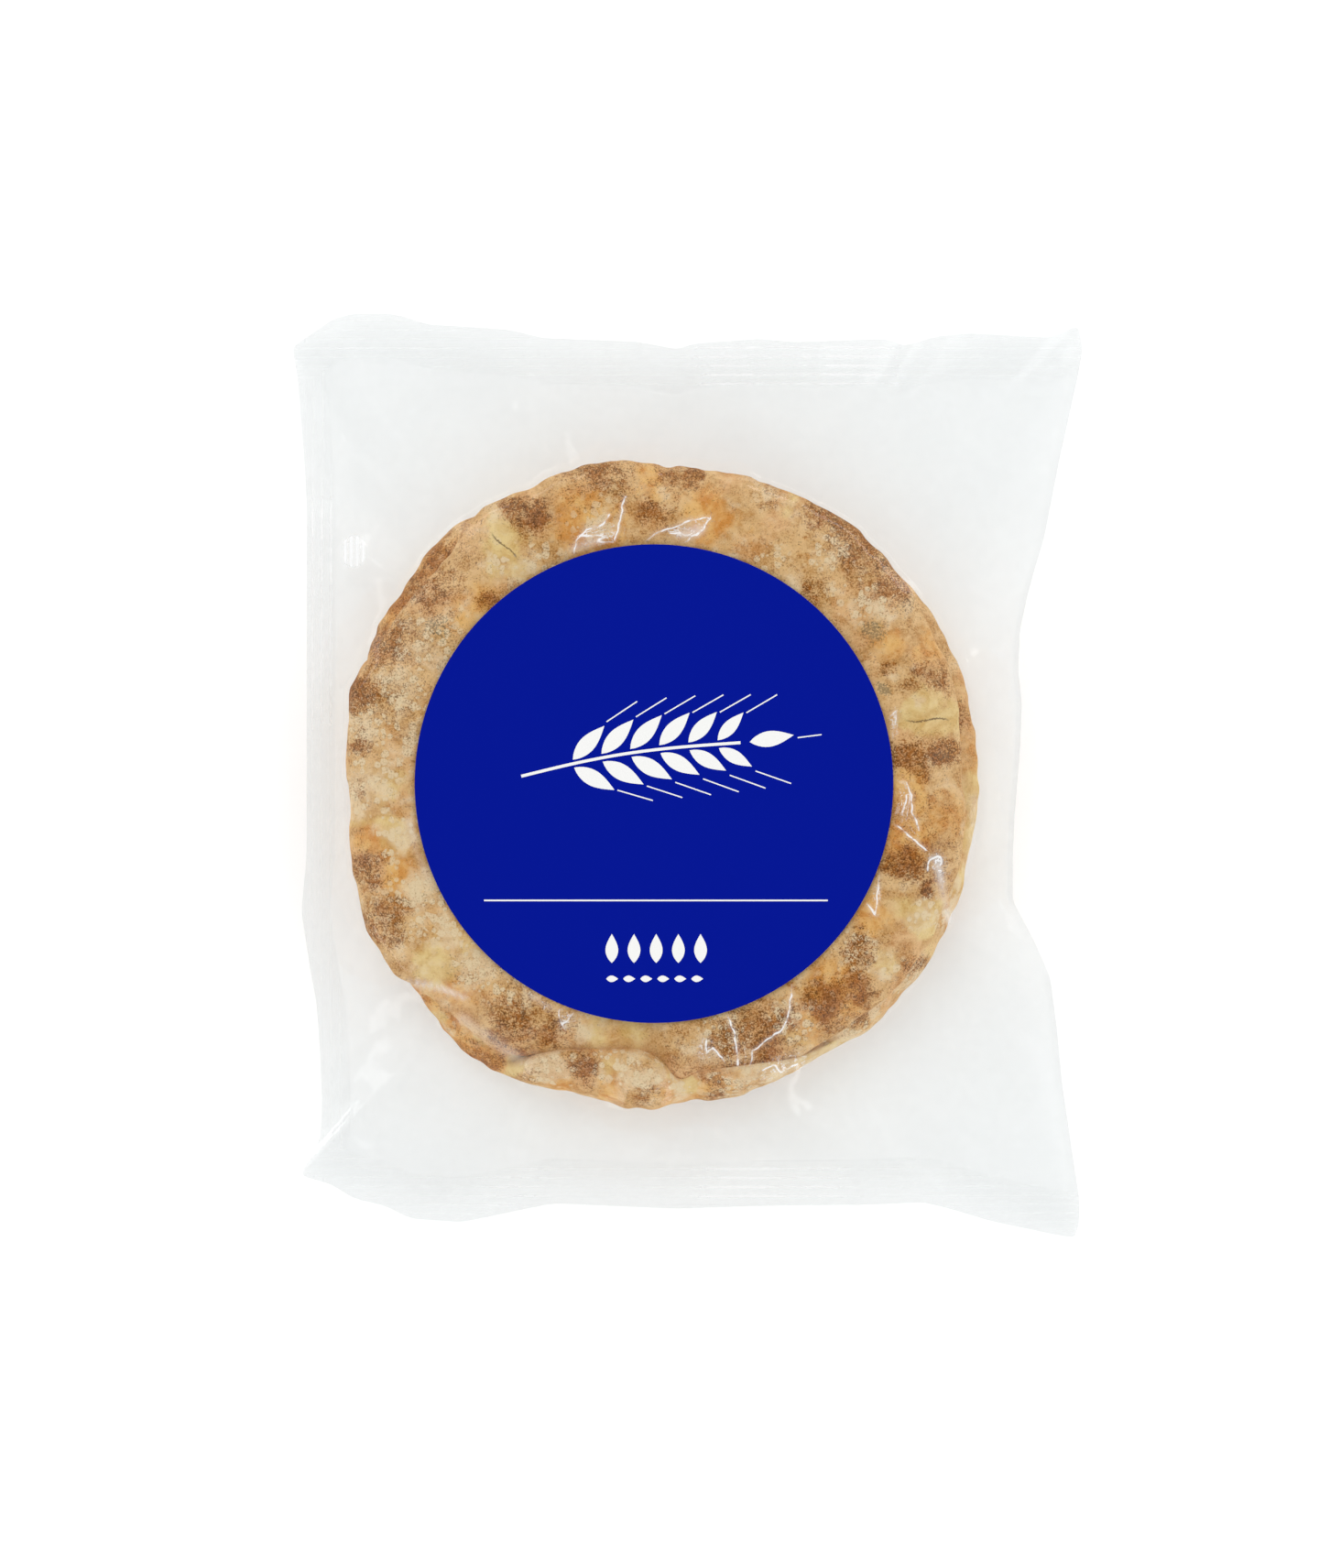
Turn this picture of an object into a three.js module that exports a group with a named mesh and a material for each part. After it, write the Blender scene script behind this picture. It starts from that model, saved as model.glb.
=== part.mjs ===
// Two pita breads, one on the other, sealed flat in a clear film pouch with a round label on its front.
// Millimetres. +X runs to the pouch's folded side, +Y to its top seal, +Z up from the table it lies on.
// The origin is the middle of the pouch's outline, at table level.
import * as THREE from 'three';

// Driving dimensions
const PITA_THICKNESS = 12;
const FILM_THICKNESS = 0.5;
const LABEL_THICKNESS = 0.3;
const LABEL_RADIUS = 64.75;
const LABEL_CENTRE = new THREE.Vector2(-9.1, -2);
const STACK_CENTRE = new THREE.Vector2(-8, 0);
const END_SEAL_WIDTH = 12.5;
const SIDE_SEAL_WIDTH = 8;
const GAP = 0.3; // between touching pieces, and between the pouch's two webs along the seals
const RIM_CLEARANCE = 0.8; // from a pita's rim to the film around it
// Where the webs leave the bread: shares of the rim's radius, and heights below or above the flat film
const FRONT_FLAT = 0.88;
const FRONT_TURN = 0.96;
const FRONT_TURN_DROP = 1;
const FRONT_SIDE_DROP = 4;
const BACK_FLAT = 0.82;
const BACK_TURN = 0.93;
const BACK_TURN_RISE = 0.9;
const BACK_SIDE_RISE = 3.5;
const FOLD_SHARE = 0.985; // where the webs meet at the fold, of the way out to its edge
const PITA_SIDES = 60;
const LABEL_SIDES = 72;
const OUTLINE_STEP = 10; // the longest straight stretch of the pouch's outline

// Heights from the table
const LOWER_BASE = FILM_THICKNESS + GAP;
const UPPER_BASE = LOWER_BASE + PITA_THICKNESS + GAP;
const FRONT_WEB = UPPER_BASE + PITA_THICKNESS + GAP;
const LABEL_BASE = FRONT_WEB + FILM_THICKNESS + GAP;

// Rim radius from STACK_CENTRE, every 15 degrees from +X anticlockwise
const UPPER_RADII = [
  81.5, 84, 84, 85.5, 85.5, 85, 85, 86, 86.5, 84, 84, 86,
  85, 86.5, 89, 86.5, 85.5, 78, 77, 81, 82.5, 82.5, 84.5, 82,
];
const LOWER_RADII = [
  87.5, 87.5, 86.5, 86, 83.5, 81.5, 81, 82, 85, 87.5, 86.5, 86,
  86.5, 87, 89, 89.5, 91.5, 90, 90.5, 90, 89.5, 90, 89, 87.5,
];

// Half section of a pita from the middle of its base to the middle of its top: share of the rim
// radius, share of the thickness
const PITA_SECTION = [
  [0, 0], [0.5, 0], [0.82, 0], [0.93, 0.12], [0.985, 0.3], [1, 0.5],
  [0.985, 0.74], [0.95, 0.92], [0.88, 1], [0.5, 1], [0, 1],
];

// The pouch's outline, anticlockwise from its bottom right corner: x, y and the height of its edge
const FOLD_SIDE = [
  [106.5, -126.9, 1.5], [107.6, -115, 2], [105.6, -102.6, 3], [102.6, -82.9, 5], [101.4, -69.9, 6],
  [99.4, -55, 7], [94.9, -45, 9], [88.9, -34, 11], [88.9, -22, 11], [89.4, -11, 11], [90.9, 7, 11],
  [91.4, 20, 11], [90.4, 29, 11], [90.9, 40, 10], [93.4, 51, 9], [97.9, 66, 7], [102.3, 88, 5],
  [107.4, 110.6, 3], [108.6, 117.5, 3],
];
const TOP_SIDE = [
  [107.2, 123.9, 4], [100, 120.5, 3], [91, 120.9, 2.5], [78, 121.6, 4], [67.6, 120.5, 6],
  [59.6, 117.9, 4], [54.6, 119.9, 6], [29.6, 118.9, 7], [19.4, 119.9, 6], [1.6, 118.6, 5],
  [-2.6, 117.1, 4.5], [-13.6, 119.1, 6], [-39.4, 120.1, 6], [-48.9, 122.5, 5], [-71.6, 124.1, 3],
  [-79.6, 126.8, 4], [-91.4, 126.9, 5], [-96.9, 125.6, 4],
];
const SEALED_SIDE = [
  [-108.6, 117.9, 2], [-107, 110, 3], [-104.9, 86.4, 6], [-104.1, 73, 8], [-104, 17, 10],
  [-104.1, -22, 10], [-105.5, -37, 10], [-103.1, -53, 9], [-101.4, -62.4, 8], [-100.6, -75, 7],
  [-100.1, -89.4, 5], [-100.6, -98.9, 4], [-103.1, -104, 3],
];
const BOTTOM_SIDE = [
  [-106.4, -109.6, 2], [-97.9, -112, 2], [-91.4, -116, 3], [-83.4, -117.6, 4], [-75.9, -121.4, 3],
  [-62, -122.3, 4], [-53.9, -120.6, 5], [-37, -117, 6], [-2.6, -118.4, 7], [19.4, -117.6, 7],
  [48.6, -117.4, 6], [64.9, -116.8, 5], [72.9, -118.9, 4], [83, -122, 3], [98.6, -125.4, 2],
];

const pitaMaterial = new THREE.MeshStandardMaterial({ color: 0xc7a472, roughness: 0.9, metalness: 0 });
const filmMaterial = new THREE.MeshStandardMaterial({
  color: 0xeef2f1, roughness: 0.15, metalness: 0, transparent: true, opacity: 0.3,
});
const labelMaterial = new THREE.MeshStandardMaterial({ color: 0x001595, roughness: 0.6, metalness: 0 });

// The rim's radius in a direction, a smooth closed curve through evenly spaced radii
function radiusAt(radii, angle) {
  const place = THREE.MathUtils.euclideanModulo(angle / (2 * Math.PI), 1) * radii.length;
  const i = Math.floor(place);
  const t = place - i;
  const [a, b, c, d] = [-1, 0, 1, 2].map((k) => radii[(i + k + radii.length) % radii.length]);
  return b + 0.5 * t * (c - a + t * (2 * a - 5 * b + 4 * c - d + t * (3 * (b - c) + d - a)));
}

function aroundStack(angle, radius, height) {
  return [
    STACK_CENTRE.x + radius * Math.cos(angle),
    STACK_CENTRE.y + radius * Math.sin(angle),
    height,
  ];
}

function meshOf(name, points, faces, material) {
  const geometry = new THREE.BufferGeometry();
  geometry.setAttribute('position', new THREE.Float32BufferAttribute(points.flat(), 3));
  geometry.setIndex(faces.flat());
  geometry.computeVertexNormals();
  const mesh = new THREE.Mesh(geometry, material);
  mesh.name = name;
  return mesh;
}

// A fan of triangles from a middle point out to a first ring, then bands of quads from ring to ring.
// Rings run anticlockwise seen from above; `up` says whether the fan faces up or down.
function fanFaces(middle, firstRing, ringCount, sides, up) {
  const faces = [];
  const add = (a, b, c) => faces.push(up ? [a, b, c] : [a, c, b]);
  for (let j = 0; j < sides; j += 1) {
    const next = (j + 1) % sides;
    add(middle, firstRing + j, firstRing + next);
    for (let k = 0; k + 1 < ringCount; k += 1) {
      const ring = firstRing + k * sides;
      const following = ring + sides;
      add(ring + j, following + j, following + next);
      add(ring + j, following + next, ring + next);
    }
  }
  return faces;
}

// A baked round, one solid: the section swept around its own rim outline
function pita(name, radii, base) {
  const rings = PITA_SECTION.slice(1, -1);
  const points = rings.flatMap(([reach, share]) =>
    Array.from({ length: PITA_SIDES }, (_, j) => {
      const angle = (2 * Math.PI * j) / PITA_SIDES;
      return aroundStack(angle, reach * radiusAt(radii, angle), base + share * PITA_THICKNESS);
    }));
  const under = points.push(aroundStack(0, 0, base)) - 1;
  const over = points.push(aroundStack(0, 0, base + PITA_THICKNESS)) - 1;
  const lastRing = (rings.length - 1) * PITA_SIDES;
  return meshOf(name, points, [
    ...fanFaces(under, 0, rings.length, PITA_SIDES, false),
    ...fanFaces(over, lastRing, 1, PITA_SIDES, true),
  ], pitaMaterial);
}

// One side of the outline, with long stretches divided so that the film can bend around the bread.
// Each point knows how far the seals reach in from it.
function dividedSide(side, following, seal, folded) {
  const stops = [...side, following[0]];
  return side.flatMap((from, i) => {
    const to = stops[i + 1];
    const count = Math.ceil(Math.hypot(to[0] - from[0], to[1] - from[1]) / OUTLINE_STEP);
    return Array.from({ length: count }, (_, k) => {
      const [x, y, edgeHeight] = from.map((value, axis) => value + ((to[axis] - value) * k) / count);
      const dx = x - STACK_CENTRE.x;
      const dy = y - STACK_CENTRE.y;
      return {
        angle: Math.atan2(dy, dx),
        edge: Math.hypot(dx, dy),
        edgeHeight,
        sealShare: seal(Math.abs(dx), Math.abs(dy)),
        folded,
      };
    });
  });
}

const acrossEnds = (dx, dy) => 1 - END_SEAL_WIDTH / dy;
const acrossSide = (dx) => 1 - SIDE_SEAL_WIDTH / dx;
const acrossFold = () => FOLD_SHARE;

const midway = (a, b) => [(a[0] + b[0]) / 2, (a[1] + b[1]) / 2];

// Each web's inside is drawn in the upright plane of one outline point, as [reach, height] pairs that
// run from the middle of the stack, past the rims, over the seal and out to the edge
function frontInside({ angle, edge, edgeHeight, sealShare }) {
  const rim = radiusAt(UPPER_RADII, angle);
  const flat = [FRONT_FLAT * rim, FRONT_WEB];
  const turn = [FRONT_TURN * rim, FRONT_WEB - FRONT_TURN_DROP];
  const side = [rim + RIM_CLEARANCE, FRONT_WEB - FRONT_SIDE_DROP];
  const seal = [edge * sealShare, edgeHeight + GAP / 2];
  return [midway([0, FRONT_WEB], flat), flat, turn, side, midway(side, seal), seal, [edge, seal[1]]];
}

function backInside({ angle, edge, edgeHeight, sealShare }) {
  const rim = radiusAt(LOWER_RADII, angle);
  const flat = [BACK_FLAT * rim, FILM_THICKNESS];
  const seal = [edge * sealShare, edgeHeight - GAP / 2];
  const risingAt = (reach, mostRise) => {
    const straight = THREE.MathUtils.mapLinear(reach, flat[0], seal[0], flat[1], seal[1]);
    return [reach, Math.min(straight, FILM_THICKNESS + mostRise)];
  };
  const turn = risingAt(BACK_TURN * rim, BACK_TURN_RISE);
  const side = risingAt(rim + RIM_CLEARANCE, BACK_SIDE_RISE);
  return [
    midway([0, FILM_THICKNESS], flat), flat, turn, side, midway(side, seal), seal, [edge, seal[1]],
  ];
}

// The same section one film thickness further out; `way` is 1 for the front web and -1 for the back
function outsideOf(section, way) {
  const normals = section.slice(1).map(([reach, height], i) => {
    const [fromReach, fromHeight] = section[i];
    return new THREE.Vector2(fromHeight - height, reach - fromReach).normalize().multiplyScalar(way);
  });
  return section.map(([reach, height], i) => {
    const before = normals[Math.max(i - 1, 0)];
    const after = normals[Math.min(i, normals.length - 1)];
    const middle = before.clone().add(after).normalize();
    middle.multiplyScalar(FILM_THICKNESS / middle.dot(after));
    const last = i === section.length - 1;
    return [last ? reach : reach + middle.x, height + middle.y];
  });
}

// One sheet of film, folded along the right side: two webs that stay a slit apart where they are sealed
function pouch() {
  const outline = [
    ...dividedSide(FOLD_SIDE, TOP_SIDE, acrossFold, true),
    ...dividedSide(TOP_SIDE, SEALED_SIDE, acrossEnds, false),
    ...dividedSide(SEALED_SIDE, BOTTOM_SIDE, acrossSide, false),
    ...dividedSide(BOTTOM_SIDE, FOLD_SIDE, acrossEnds, false),
  ];
  const sides = outline.length;
  const firstTop = outline.findIndex(({ folded }) => !folded);
  const onFold = (j) => outline[j].folded || j === firstTop;
  const points = [];
  const faces = [];

  // Adds one surface of the sheet and returns the index of its outermost ring
  const addSurface = (sectionOf, middleHeight, up) => {
    const sections = outline.map(sectionOf);
    const ringCount = sections[0].length;
    const firstRing = points.length;
    for (let k = 0; k < ringCount; k += 1) {
      sections.forEach((section, j) => points.push(aroundStack(outline[j].angle, ...section[k])));
    }
    const middle = points.push(aroundStack(0, 0, middleHeight)) - 1;
    faces.push(...fanFaces(middle, firstRing, ringCount, sides, up));
    return firstRing + (ringCount - 1) * sides;
  };
  const insideOf = (section) => (point, j) => {
    const rings = section(point);
    const [edge, height] = rings.at(-1);
    return [...rings.slice(0, -1), [onFold(j) ? edge - FILM_THICKNESS : edge, height]];
  };

  const frontOut = addSurface((p) => outsideOf(frontInside(p), 1), FRONT_WEB + FILM_THICKNESS, true);
  const frontIn = addSurface(insideOf(frontInside), FRONT_WEB, false);
  const backIn = addSurface(insideOf(backInside), FILM_THICKNESS, true);
  const backOut = addSurface((p) => outsideOf(backInside(p), -1), 0, false);

  const addQuad = (a, b, c, d) => faces.push([a, b, c], [a, c, d]);
  for (let j = 0; j < sides; j += 1) {
    const next = (j + 1) % sides;
    if (outline[j].folded) {
      addQuad(backOut + j, backOut + next, frontOut + next, frontOut + j);
      addQuad(frontIn + j, frontIn + next, backIn + next, backIn + j);
    } else {
      addQuad(frontIn + j, frontIn + next, frontOut + next, frontOut + j);
      addQuad(backOut + j, backOut + next, backIn + next, backIn + j);
    }
  }
  // The ends of the fold
  addQuad(backOut, frontOut, frontIn, backIn);
  addQuad(backOut + firstTop, backIn + firstTop, frontIn + firstTop, frontOut + firstTop);
  return meshOf('film_pouch', points, faces, filmMaterial);
}

function label() {
  const geometry = new THREE.CylinderGeometry(LABEL_RADIUS, LABEL_RADIUS, LABEL_THICKNESS, LABEL_SIDES);
  geometry.rotateX(Math.PI / 2);
  const mesh = new THREE.Mesh(geometry, labelMaterial);
  mesh.name = 'round_label';
  mesh.position.set(LABEL_CENTRE.x, LABEL_CENTRE.y, LABEL_BASE + LABEL_THICKNESS / 2);
  return mesh;
}

const packet = new THREE.Group();
packet.add(
  pita('lower_pita', LOWER_RADII, LOWER_BASE),
  pita('upper_pita', UPPER_RADII, UPPER_BASE),
  pouch(),
  label(),
);
export default packet;
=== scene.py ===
"""A packet of pita bread: two baked rounds, one on the other, sealed in a clear film pouch with a round
label on its front. Shapes are worked out in millimetres about the packet's own axes, +X to the folded
side, +Y to the top seal and +Z up, and turned to metres where they become meshes."""

from functools import partial

import bpy
import numpy as np
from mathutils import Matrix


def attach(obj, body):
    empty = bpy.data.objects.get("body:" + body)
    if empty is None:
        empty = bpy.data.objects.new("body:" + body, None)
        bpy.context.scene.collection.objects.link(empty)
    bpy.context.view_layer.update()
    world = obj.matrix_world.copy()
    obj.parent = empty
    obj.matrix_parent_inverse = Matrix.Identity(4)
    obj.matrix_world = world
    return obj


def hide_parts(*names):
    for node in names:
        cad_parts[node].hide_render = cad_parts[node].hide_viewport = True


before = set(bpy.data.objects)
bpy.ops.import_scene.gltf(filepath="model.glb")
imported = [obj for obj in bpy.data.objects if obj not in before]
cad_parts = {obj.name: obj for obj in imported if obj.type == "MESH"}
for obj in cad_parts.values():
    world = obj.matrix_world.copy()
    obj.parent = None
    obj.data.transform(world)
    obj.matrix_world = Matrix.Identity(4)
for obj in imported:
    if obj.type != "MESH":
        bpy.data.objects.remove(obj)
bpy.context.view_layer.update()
MM = 0.001

# ------------------------------------------------------------------ driving sizes, in millimetres
STACK_X, STACK_Y = -8.0, 0.0  # the middle of the two rounds
LOWER_BASE, UPPER_BASE = 0.8, 13.1
PITA_THICKNESS = 12.0
LABEL_X, LABEL_Y, LABEL_RADIUS = -9.1, -2.0, 64.75
FILM_LEVEL = 25.75  # the front web where the label is stuck
END_SEAL, SIDE_SEAL, RIB_PITCH = 12.5, 8.0, 2.5

# Rims as (degrees from +X, radius from the middle of the stack): a point wherever a lump or a cleft is
UPPER_RIM = [
    (0, 82.4), (8, 83.2), (20, 84.6), (25, 83.4), (38, 85.2), (50, 86.2), (60, 85.6), (66, 84.9),
    (78, 84.6), (84, 84.0), (90, 84.4), (99, 86.8), (108, 86.6), (114, 85.6), (124, 87.2), (129, 85.0),
    (134, 82.0), (145, 83.0), (154, 83.4), (163, 87.2), (171, 85.2), (179, 84.4), (186, 84.2),
    (195, 86.4), (200, 87.2), (207, 89.4), (212, 89.0), (216, 89.6), (225, 86.0), (230, 85.2),
    (240, 86.6), (244, 84.6), (249, 81.0), (253, 78.8), (260, 77.4), (266, 77.2), (270, 79.0),
    (274, 83.4), (278, 82.6), (286, 84.8), (292, 85.4), (299, 85.0), (306, 85.0), (312, 85.8),
    (318, 86.4), (324, 86.6), (330, 86.2), (336, 85.4), (343, 85.2), (352, 84.6),
]
LOWER_RIM = [
    (0, 87.5), (14, 87.6), (27, 87.2), (33, 86.8), (45, 86.0), (57, 84.5), (68, 82.2), (80, 81.0),
    (100, 81.6), (114, 83.0), (122, 86.4), (129, 88.4), (136, 88.0), (142, 86.2), (152, 86.8),
    (158, 86.0), (166, 84.4), (180, 83.6), (188, 84.2), (196, 85.4), (206, 87.4), (214, 88.0),
    (222, 88.2), (228, 90.2), (233, 92.0), (240, 92.2), (251, 90.2), (257, 89.2), (261, 89.7),
    (264, 90.8), (268, 91.4), (271.5, 90.6), (274, 88.7), (278, 89.5), (285, 90.2), (289, 89.5),
    (297, 88.2), (303, 88.6), (310, 90.4), (317, 89.2), (324, 90.4), (331, 89.0), (338, 88.8),
    (346, 87.4), (353, 88.2),
]

# The pouch's outline, anticlockwise from its bottom right corner: x, y and the height of its edge
FOLD_SIDE = [
    (106.5, -126.9, 1.5), (107.8, -122, 1.5), (107.6, -115, 2), (105.6, -102.6, 3), (102.6, -82.9, 5),
    (101.4, -69.9, 6), (99.4, -55, 7), (94.9, -45, 9), (88.9, -34, 11), (88.9, -22, 11),
    (89.4, -11, 11), (90.9, 7, 11), (91.4, 20, 11), (90.4, 29, 11), (90.9, 40, 10), (93.4, 51, 9),
    (97.9, 66, 7), (102.3, 88, 5), (107.4, 110.6, 3), (108.6, 117.5, 3),
]
TOP_SIDE = [
    (107.2, 123.9, 4), (100, 120.5, 3), (91, 120.9, 2.5), (78, 121.6, 4), (67.6, 120.5, 6),
    (59.6, 117.9, 4), (54.6, 119.9, 6), (29.6, 118.9, 7), (19.4, 119.9, 6), (1.6, 118.6, 5),
    (-2.6, 117.1, 4.5), (-13.6, 119.1, 6), (-39.4, 120.1, 6), (-48.9, 122.5, 5), (-71.6, 124.1, 3),
    (-79.6, 126.8, 4), (-91.4, 126.9, 5), (-96.9, 125.6, 4),
]
SEALED_SIDE = [
    (-108.6, 117.9, 2), (-107, 110, 3), (-104.9, 86.4, 6), (-104.1, 73, 8), (-104, 17, 10),
    (-104.1, -22, 10), (-105.5, -37, 10), (-103.1, -53, 9), (-101.4, -62.4, 8), (-100.6, -75, 7),
    (-100.1, -89.4, 5), (-100.6, -98.9, 4), (-103.1, -104, 3),
]
BOTTOM_SIDE = [
    (-106.4, -109.6, 2), (-97.9, -112, 2), (-91.4, -116, 3), (-83.4, -117.6, 4), (-75.9, -121.4, 3),
    (-62, -122.3, 4), (-53.9, -120.6, 5), (-37, -117, 6), (-2.6, -118.4, 7), (19.4, -117.6, 7),
    (48.6, -117.4, 6), (64.9, -116.8, 5), (72.9, -118.9, 4), (83, -122, 3), (98.6, -125.4, 2),
]


# ------------------------------------------------------------------------------------ small maths
def ease(x, low, high):
    """0 below low, 1 above high, and the smooth cubic 3t^2 - 2t^3 between."""
    t = np.clip((x - low) / (high - low), 0, 1)
    return t * t * (3 - 2 * t)


def lattice_noise(x, y, grain, seed):
    """Smooth noise of about -1 to 1: random values on a square lattice `grain` mm wide, blended between
    lattice points with the quintic 6t^5 - 15t^4 + 10t^3. The lattice repeats after 128 points, and its
    middle is set off from the packet's."""
    values = np.random.default_rng(seed).uniform(-1, 1, (128, 128))
    u, v = x / grain + 61.3, y / grain + 57.9
    i, j = np.floor(u).astype(int), np.floor(v).astype(int)
    s, t = u - i, v - j
    s, t = (w**3 * (w * (w * 6 - 15) + 10) for w in (s, t))
    a, b = values[i % 128, j % 128], values[(i + 1) % 128, j % 128]
    c, d = values[i % 128, (j + 1) % 128], values[(i + 1) % 128, (j + 1) % 128]
    return (a * (1 - s) + b * s) * (1 - t) + (c * (1 - s) + d * s) * t


def layered_noise(x, y, grain, seed, layers=3):
    """Lattice noise summed over `layers`, each half as wide and half as strong as the one before."""
    total = sum(lattice_noise(x, y, grain / 2**k, seed + 17 * k) / 2**k for k in range(layers))
    return total / 1.4


def softened(values, steps, whole, soften):
    """Values at even steps around a closed loop `whole` long, averaged with the bell-shaped weight
    exp(-(distance / soften)^2)."""
    bell = np.exp(-((np.minimum(steps, whole - steps) / soften) ** 2))
    return np.fft.irfft(np.fft.rfft(values) * np.fft.rfft(bell / bell.sum()), len(steps))


def around(table, angle, soften):
    """A closed curve's value at `angle`: straight lines between the table's (degrees, value) points,
    softened over `soften` degrees."""
    degrees = np.arange(0, 360, 0.5)
    corners, values = np.array(table, float).T
    smooth = softened(np.interp(degrees, corners, values, period=360), degrees, 360, soften)
    return np.interp(np.degrees(angle), degrees, smooth, period=360)


def polar(x, y):
    """Distance and angle from the middle of the stack."""
    return np.hypot(x - STACK_X, y - STACK_Y), np.arctan2(y - STACK_Y, x - STACK_X)


def turned(x, y, at_x, at_y, degrees):
    """Distances from a place, along a direction and across it."""
    turn = np.radians(degrees)
    along = (x - at_x) * np.cos(turn) + (y - at_y) * np.sin(turn)
    across = (y - at_y) * np.cos(turn) - (x - at_x) * np.sin(turn)
    return along, across


def beside(x, y, line):
    """For each straight run of a line of points: the distance to it, the signed distance across it, and
    how far beyond its nearer end a point lies."""
    for (ax, ay), (bx, by) in zip(line, line[1:]):
        size = np.hypot(bx - ax, by - ay)
        along = ((x - ax) * (bx - ax) + (y - ay) * (by - ay)) / size
        across = ((y - ay) * (bx - ax) - (x - ax) * (by - ay)) / size
        beyond = np.maximum(-along, along - size)
        yield np.hypot(across, np.maximum(beyond, 0)), across, beyond


# ------------------------------------------------------------------------------------ mesh making
def mesh_piece(name, points, loops, starts, attributes=None, smooth=True):
    """An object from points in mm, face corners and each face's first corner."""
    mesh = bpy.data.meshes.new(name)
    mesh.vertices.add(len(points))
    mesh.vertices.foreach_set("co", (points * MM).astype(np.float32).ravel())
    mesh.loops.add(len(loops))
    mesh.loops.foreach_set("vertex_index", loops.astype(np.int32))
    mesh.polygons.add(len(starts))
    mesh.polygons.foreach_set("loop_start", starts.astype(np.int32))
    mesh.polygons.foreach_set("use_smooth", np.full(len(starts), smooth))
    for attribute, values in (attributes or {}).items():
        layer = mesh.attributes.new(attribute, "FLOAT", "POINT")
        layer.data.foreach_set("value", np.asarray(values, np.float32).ravel())
    mesh.update(calc_edges=True)
    piece = bpy.data.objects.new(name, mesh)
    bpy.context.scene.collection.objects.link(piece)
    return piece


def rings_piece(name, rings, attributes=None, flip=False, top=False):
    """A piece from rings of points: rings[k, j] is point j of ring k, closed around. The first ring is
    drawn together to its middle by a fan, and so is the last one if `top` is set. Each attribute has a
    value for every point of the rings, and each fan's middle takes its ring's mean."""
    count, sides = rings.shape[:2]
    grid = np.arange(count * sides).reshape(count, sides)
    a, b = grid[:-1], grid[1:]
    quads = np.stack([a, b, np.roll(b, -1, 1), np.roll(a, -1, 1)], -1).reshape(-1, 4)
    points = [rings.reshape(-1, 3), rings[0].mean(0)[None]]
    values = {k: [v.ravel(), [v[0].mean()]] for k, v in (attributes or {}).items()}
    middle = count * sides
    fans = [np.stack([np.full(sides, middle), grid[0], np.roll(grid[0], -1)], -1)]
    if top:
        points.append(rings[-1].mean(0)[None])
        for k, v in (attributes or {}).items():
            values[k].append([v[-1].mean()])
        fans.append(np.stack([np.full(sides, middle + 1), np.roll(grid[-1], -1), grid[-1]], -1))
    fans = np.concatenate(fans)
    if flip:
        quads, fans = quads[:, ::-1], fans[:, ::-1]
    loops = np.concatenate([quads.ravel(), fans.ravel()])
    starts = np.concatenate([np.arange(len(quads)) * 4, len(quads) * 4 + np.arange(len(fans)) * 3])
    values = {k: np.concatenate(v) for k, v in values.items()}
    return mesh_piece(name, np.concatenate(points), loops, starts, values)


# ---------------------------------------------------------------------------------------- bread
# The lower round's rim curls up over the upper one between these directions, by this many mm, in
# tongues with a lip this deep that reach in as far as a line of (degrees, radius) points
CURL_FROM, CURL_TO, CURL_RISE, LIP = 241, 312, 12.0, 3.5
TONGUES = [
    (0, 95), (236, 95), (243, 87.5), (246, 81.5), (250, 77.6), (256, 74.9), (263, 73.3), (267, 73.4),
    (271, 76.2), (274, 81.6), (277, 79.0), (283, 79.6), (290, 82.2), (297, 84.6), (305, 86.5), (312, 88),
    (320, 95), (359, 95),
]
# Where the lower round's rim is thicker, outside a radius of LIFTED_FROM to LIFTED_FULL: from and to in
# degrees, and by how many mm
LIFTED_FROM, LIFTED_FULL = 78, 83
LIFTS = [(112, 164, 6.5), (208, 250, 5.0), (280, 358, 7.5)]
# The upper round's rim droops beside the tongues: at this direction, over so many degrees, by this depth
DROOP_AT, DROOP_WIDTH, DROOP_DEPTH = -94, 22, 1.8
# How far below the film's level over the label each round stays
UPPER_CLEARANCE, LOWER_CLEARANCE = 0.2, 1.1
# Cracks in the upper round's folds: middle x, y, direction, half length and how much each one bows
CRACKS = [(65.0, 15.2, -4, 6.5, 0.7), (-49.6, 62.4, 125, 5.5, 0.9)]
# Pale folds pressed into the upper round: x, y, direction in degrees, length, width and depth
FOLDS = [
    (-49.5, 64.0, 118, 24, 5.0, 1.0), (64.0, 15.0, 4, 26, 5.0, 1.1), (-92.0, 32.0, 150, 14, 4.0, 0.8),
    (-63.0, -52.0, 35, 22, 6.0, 0.8), (60.0, -38.0, 320, 16, 6.0, 0.9), (-86.0, -12.0, 188, 14, 4.0, 0.6),
    (28.0, 74.0, 65, 14, 5.0, 0.5), (-23.0, -66.0, 250, 18, 6.0, 0.6),
]


def section(sharpness, share):
    """Half height of a round's section at a share of its rim radius, as a share of half its thickness:
    the square root of 1 - share^sharpness, flat over the middle and round at the rim."""
    return np.sqrt(np.clip(1 - np.clip(share, 0, 1) ** sharpness, 0, 1))


def along_fold(x, y, fold):
    """How much of a pressed fold is at a point: a bell across its width and along its length."""
    at_x, at_y, direction, length, width, _ = fold
    along, across = turned(x, y, at_x, at_y, direction)
    return np.exp(-((along / (length / 2)) ** 4) - (across / (width / 2)) ** 2)


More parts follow.
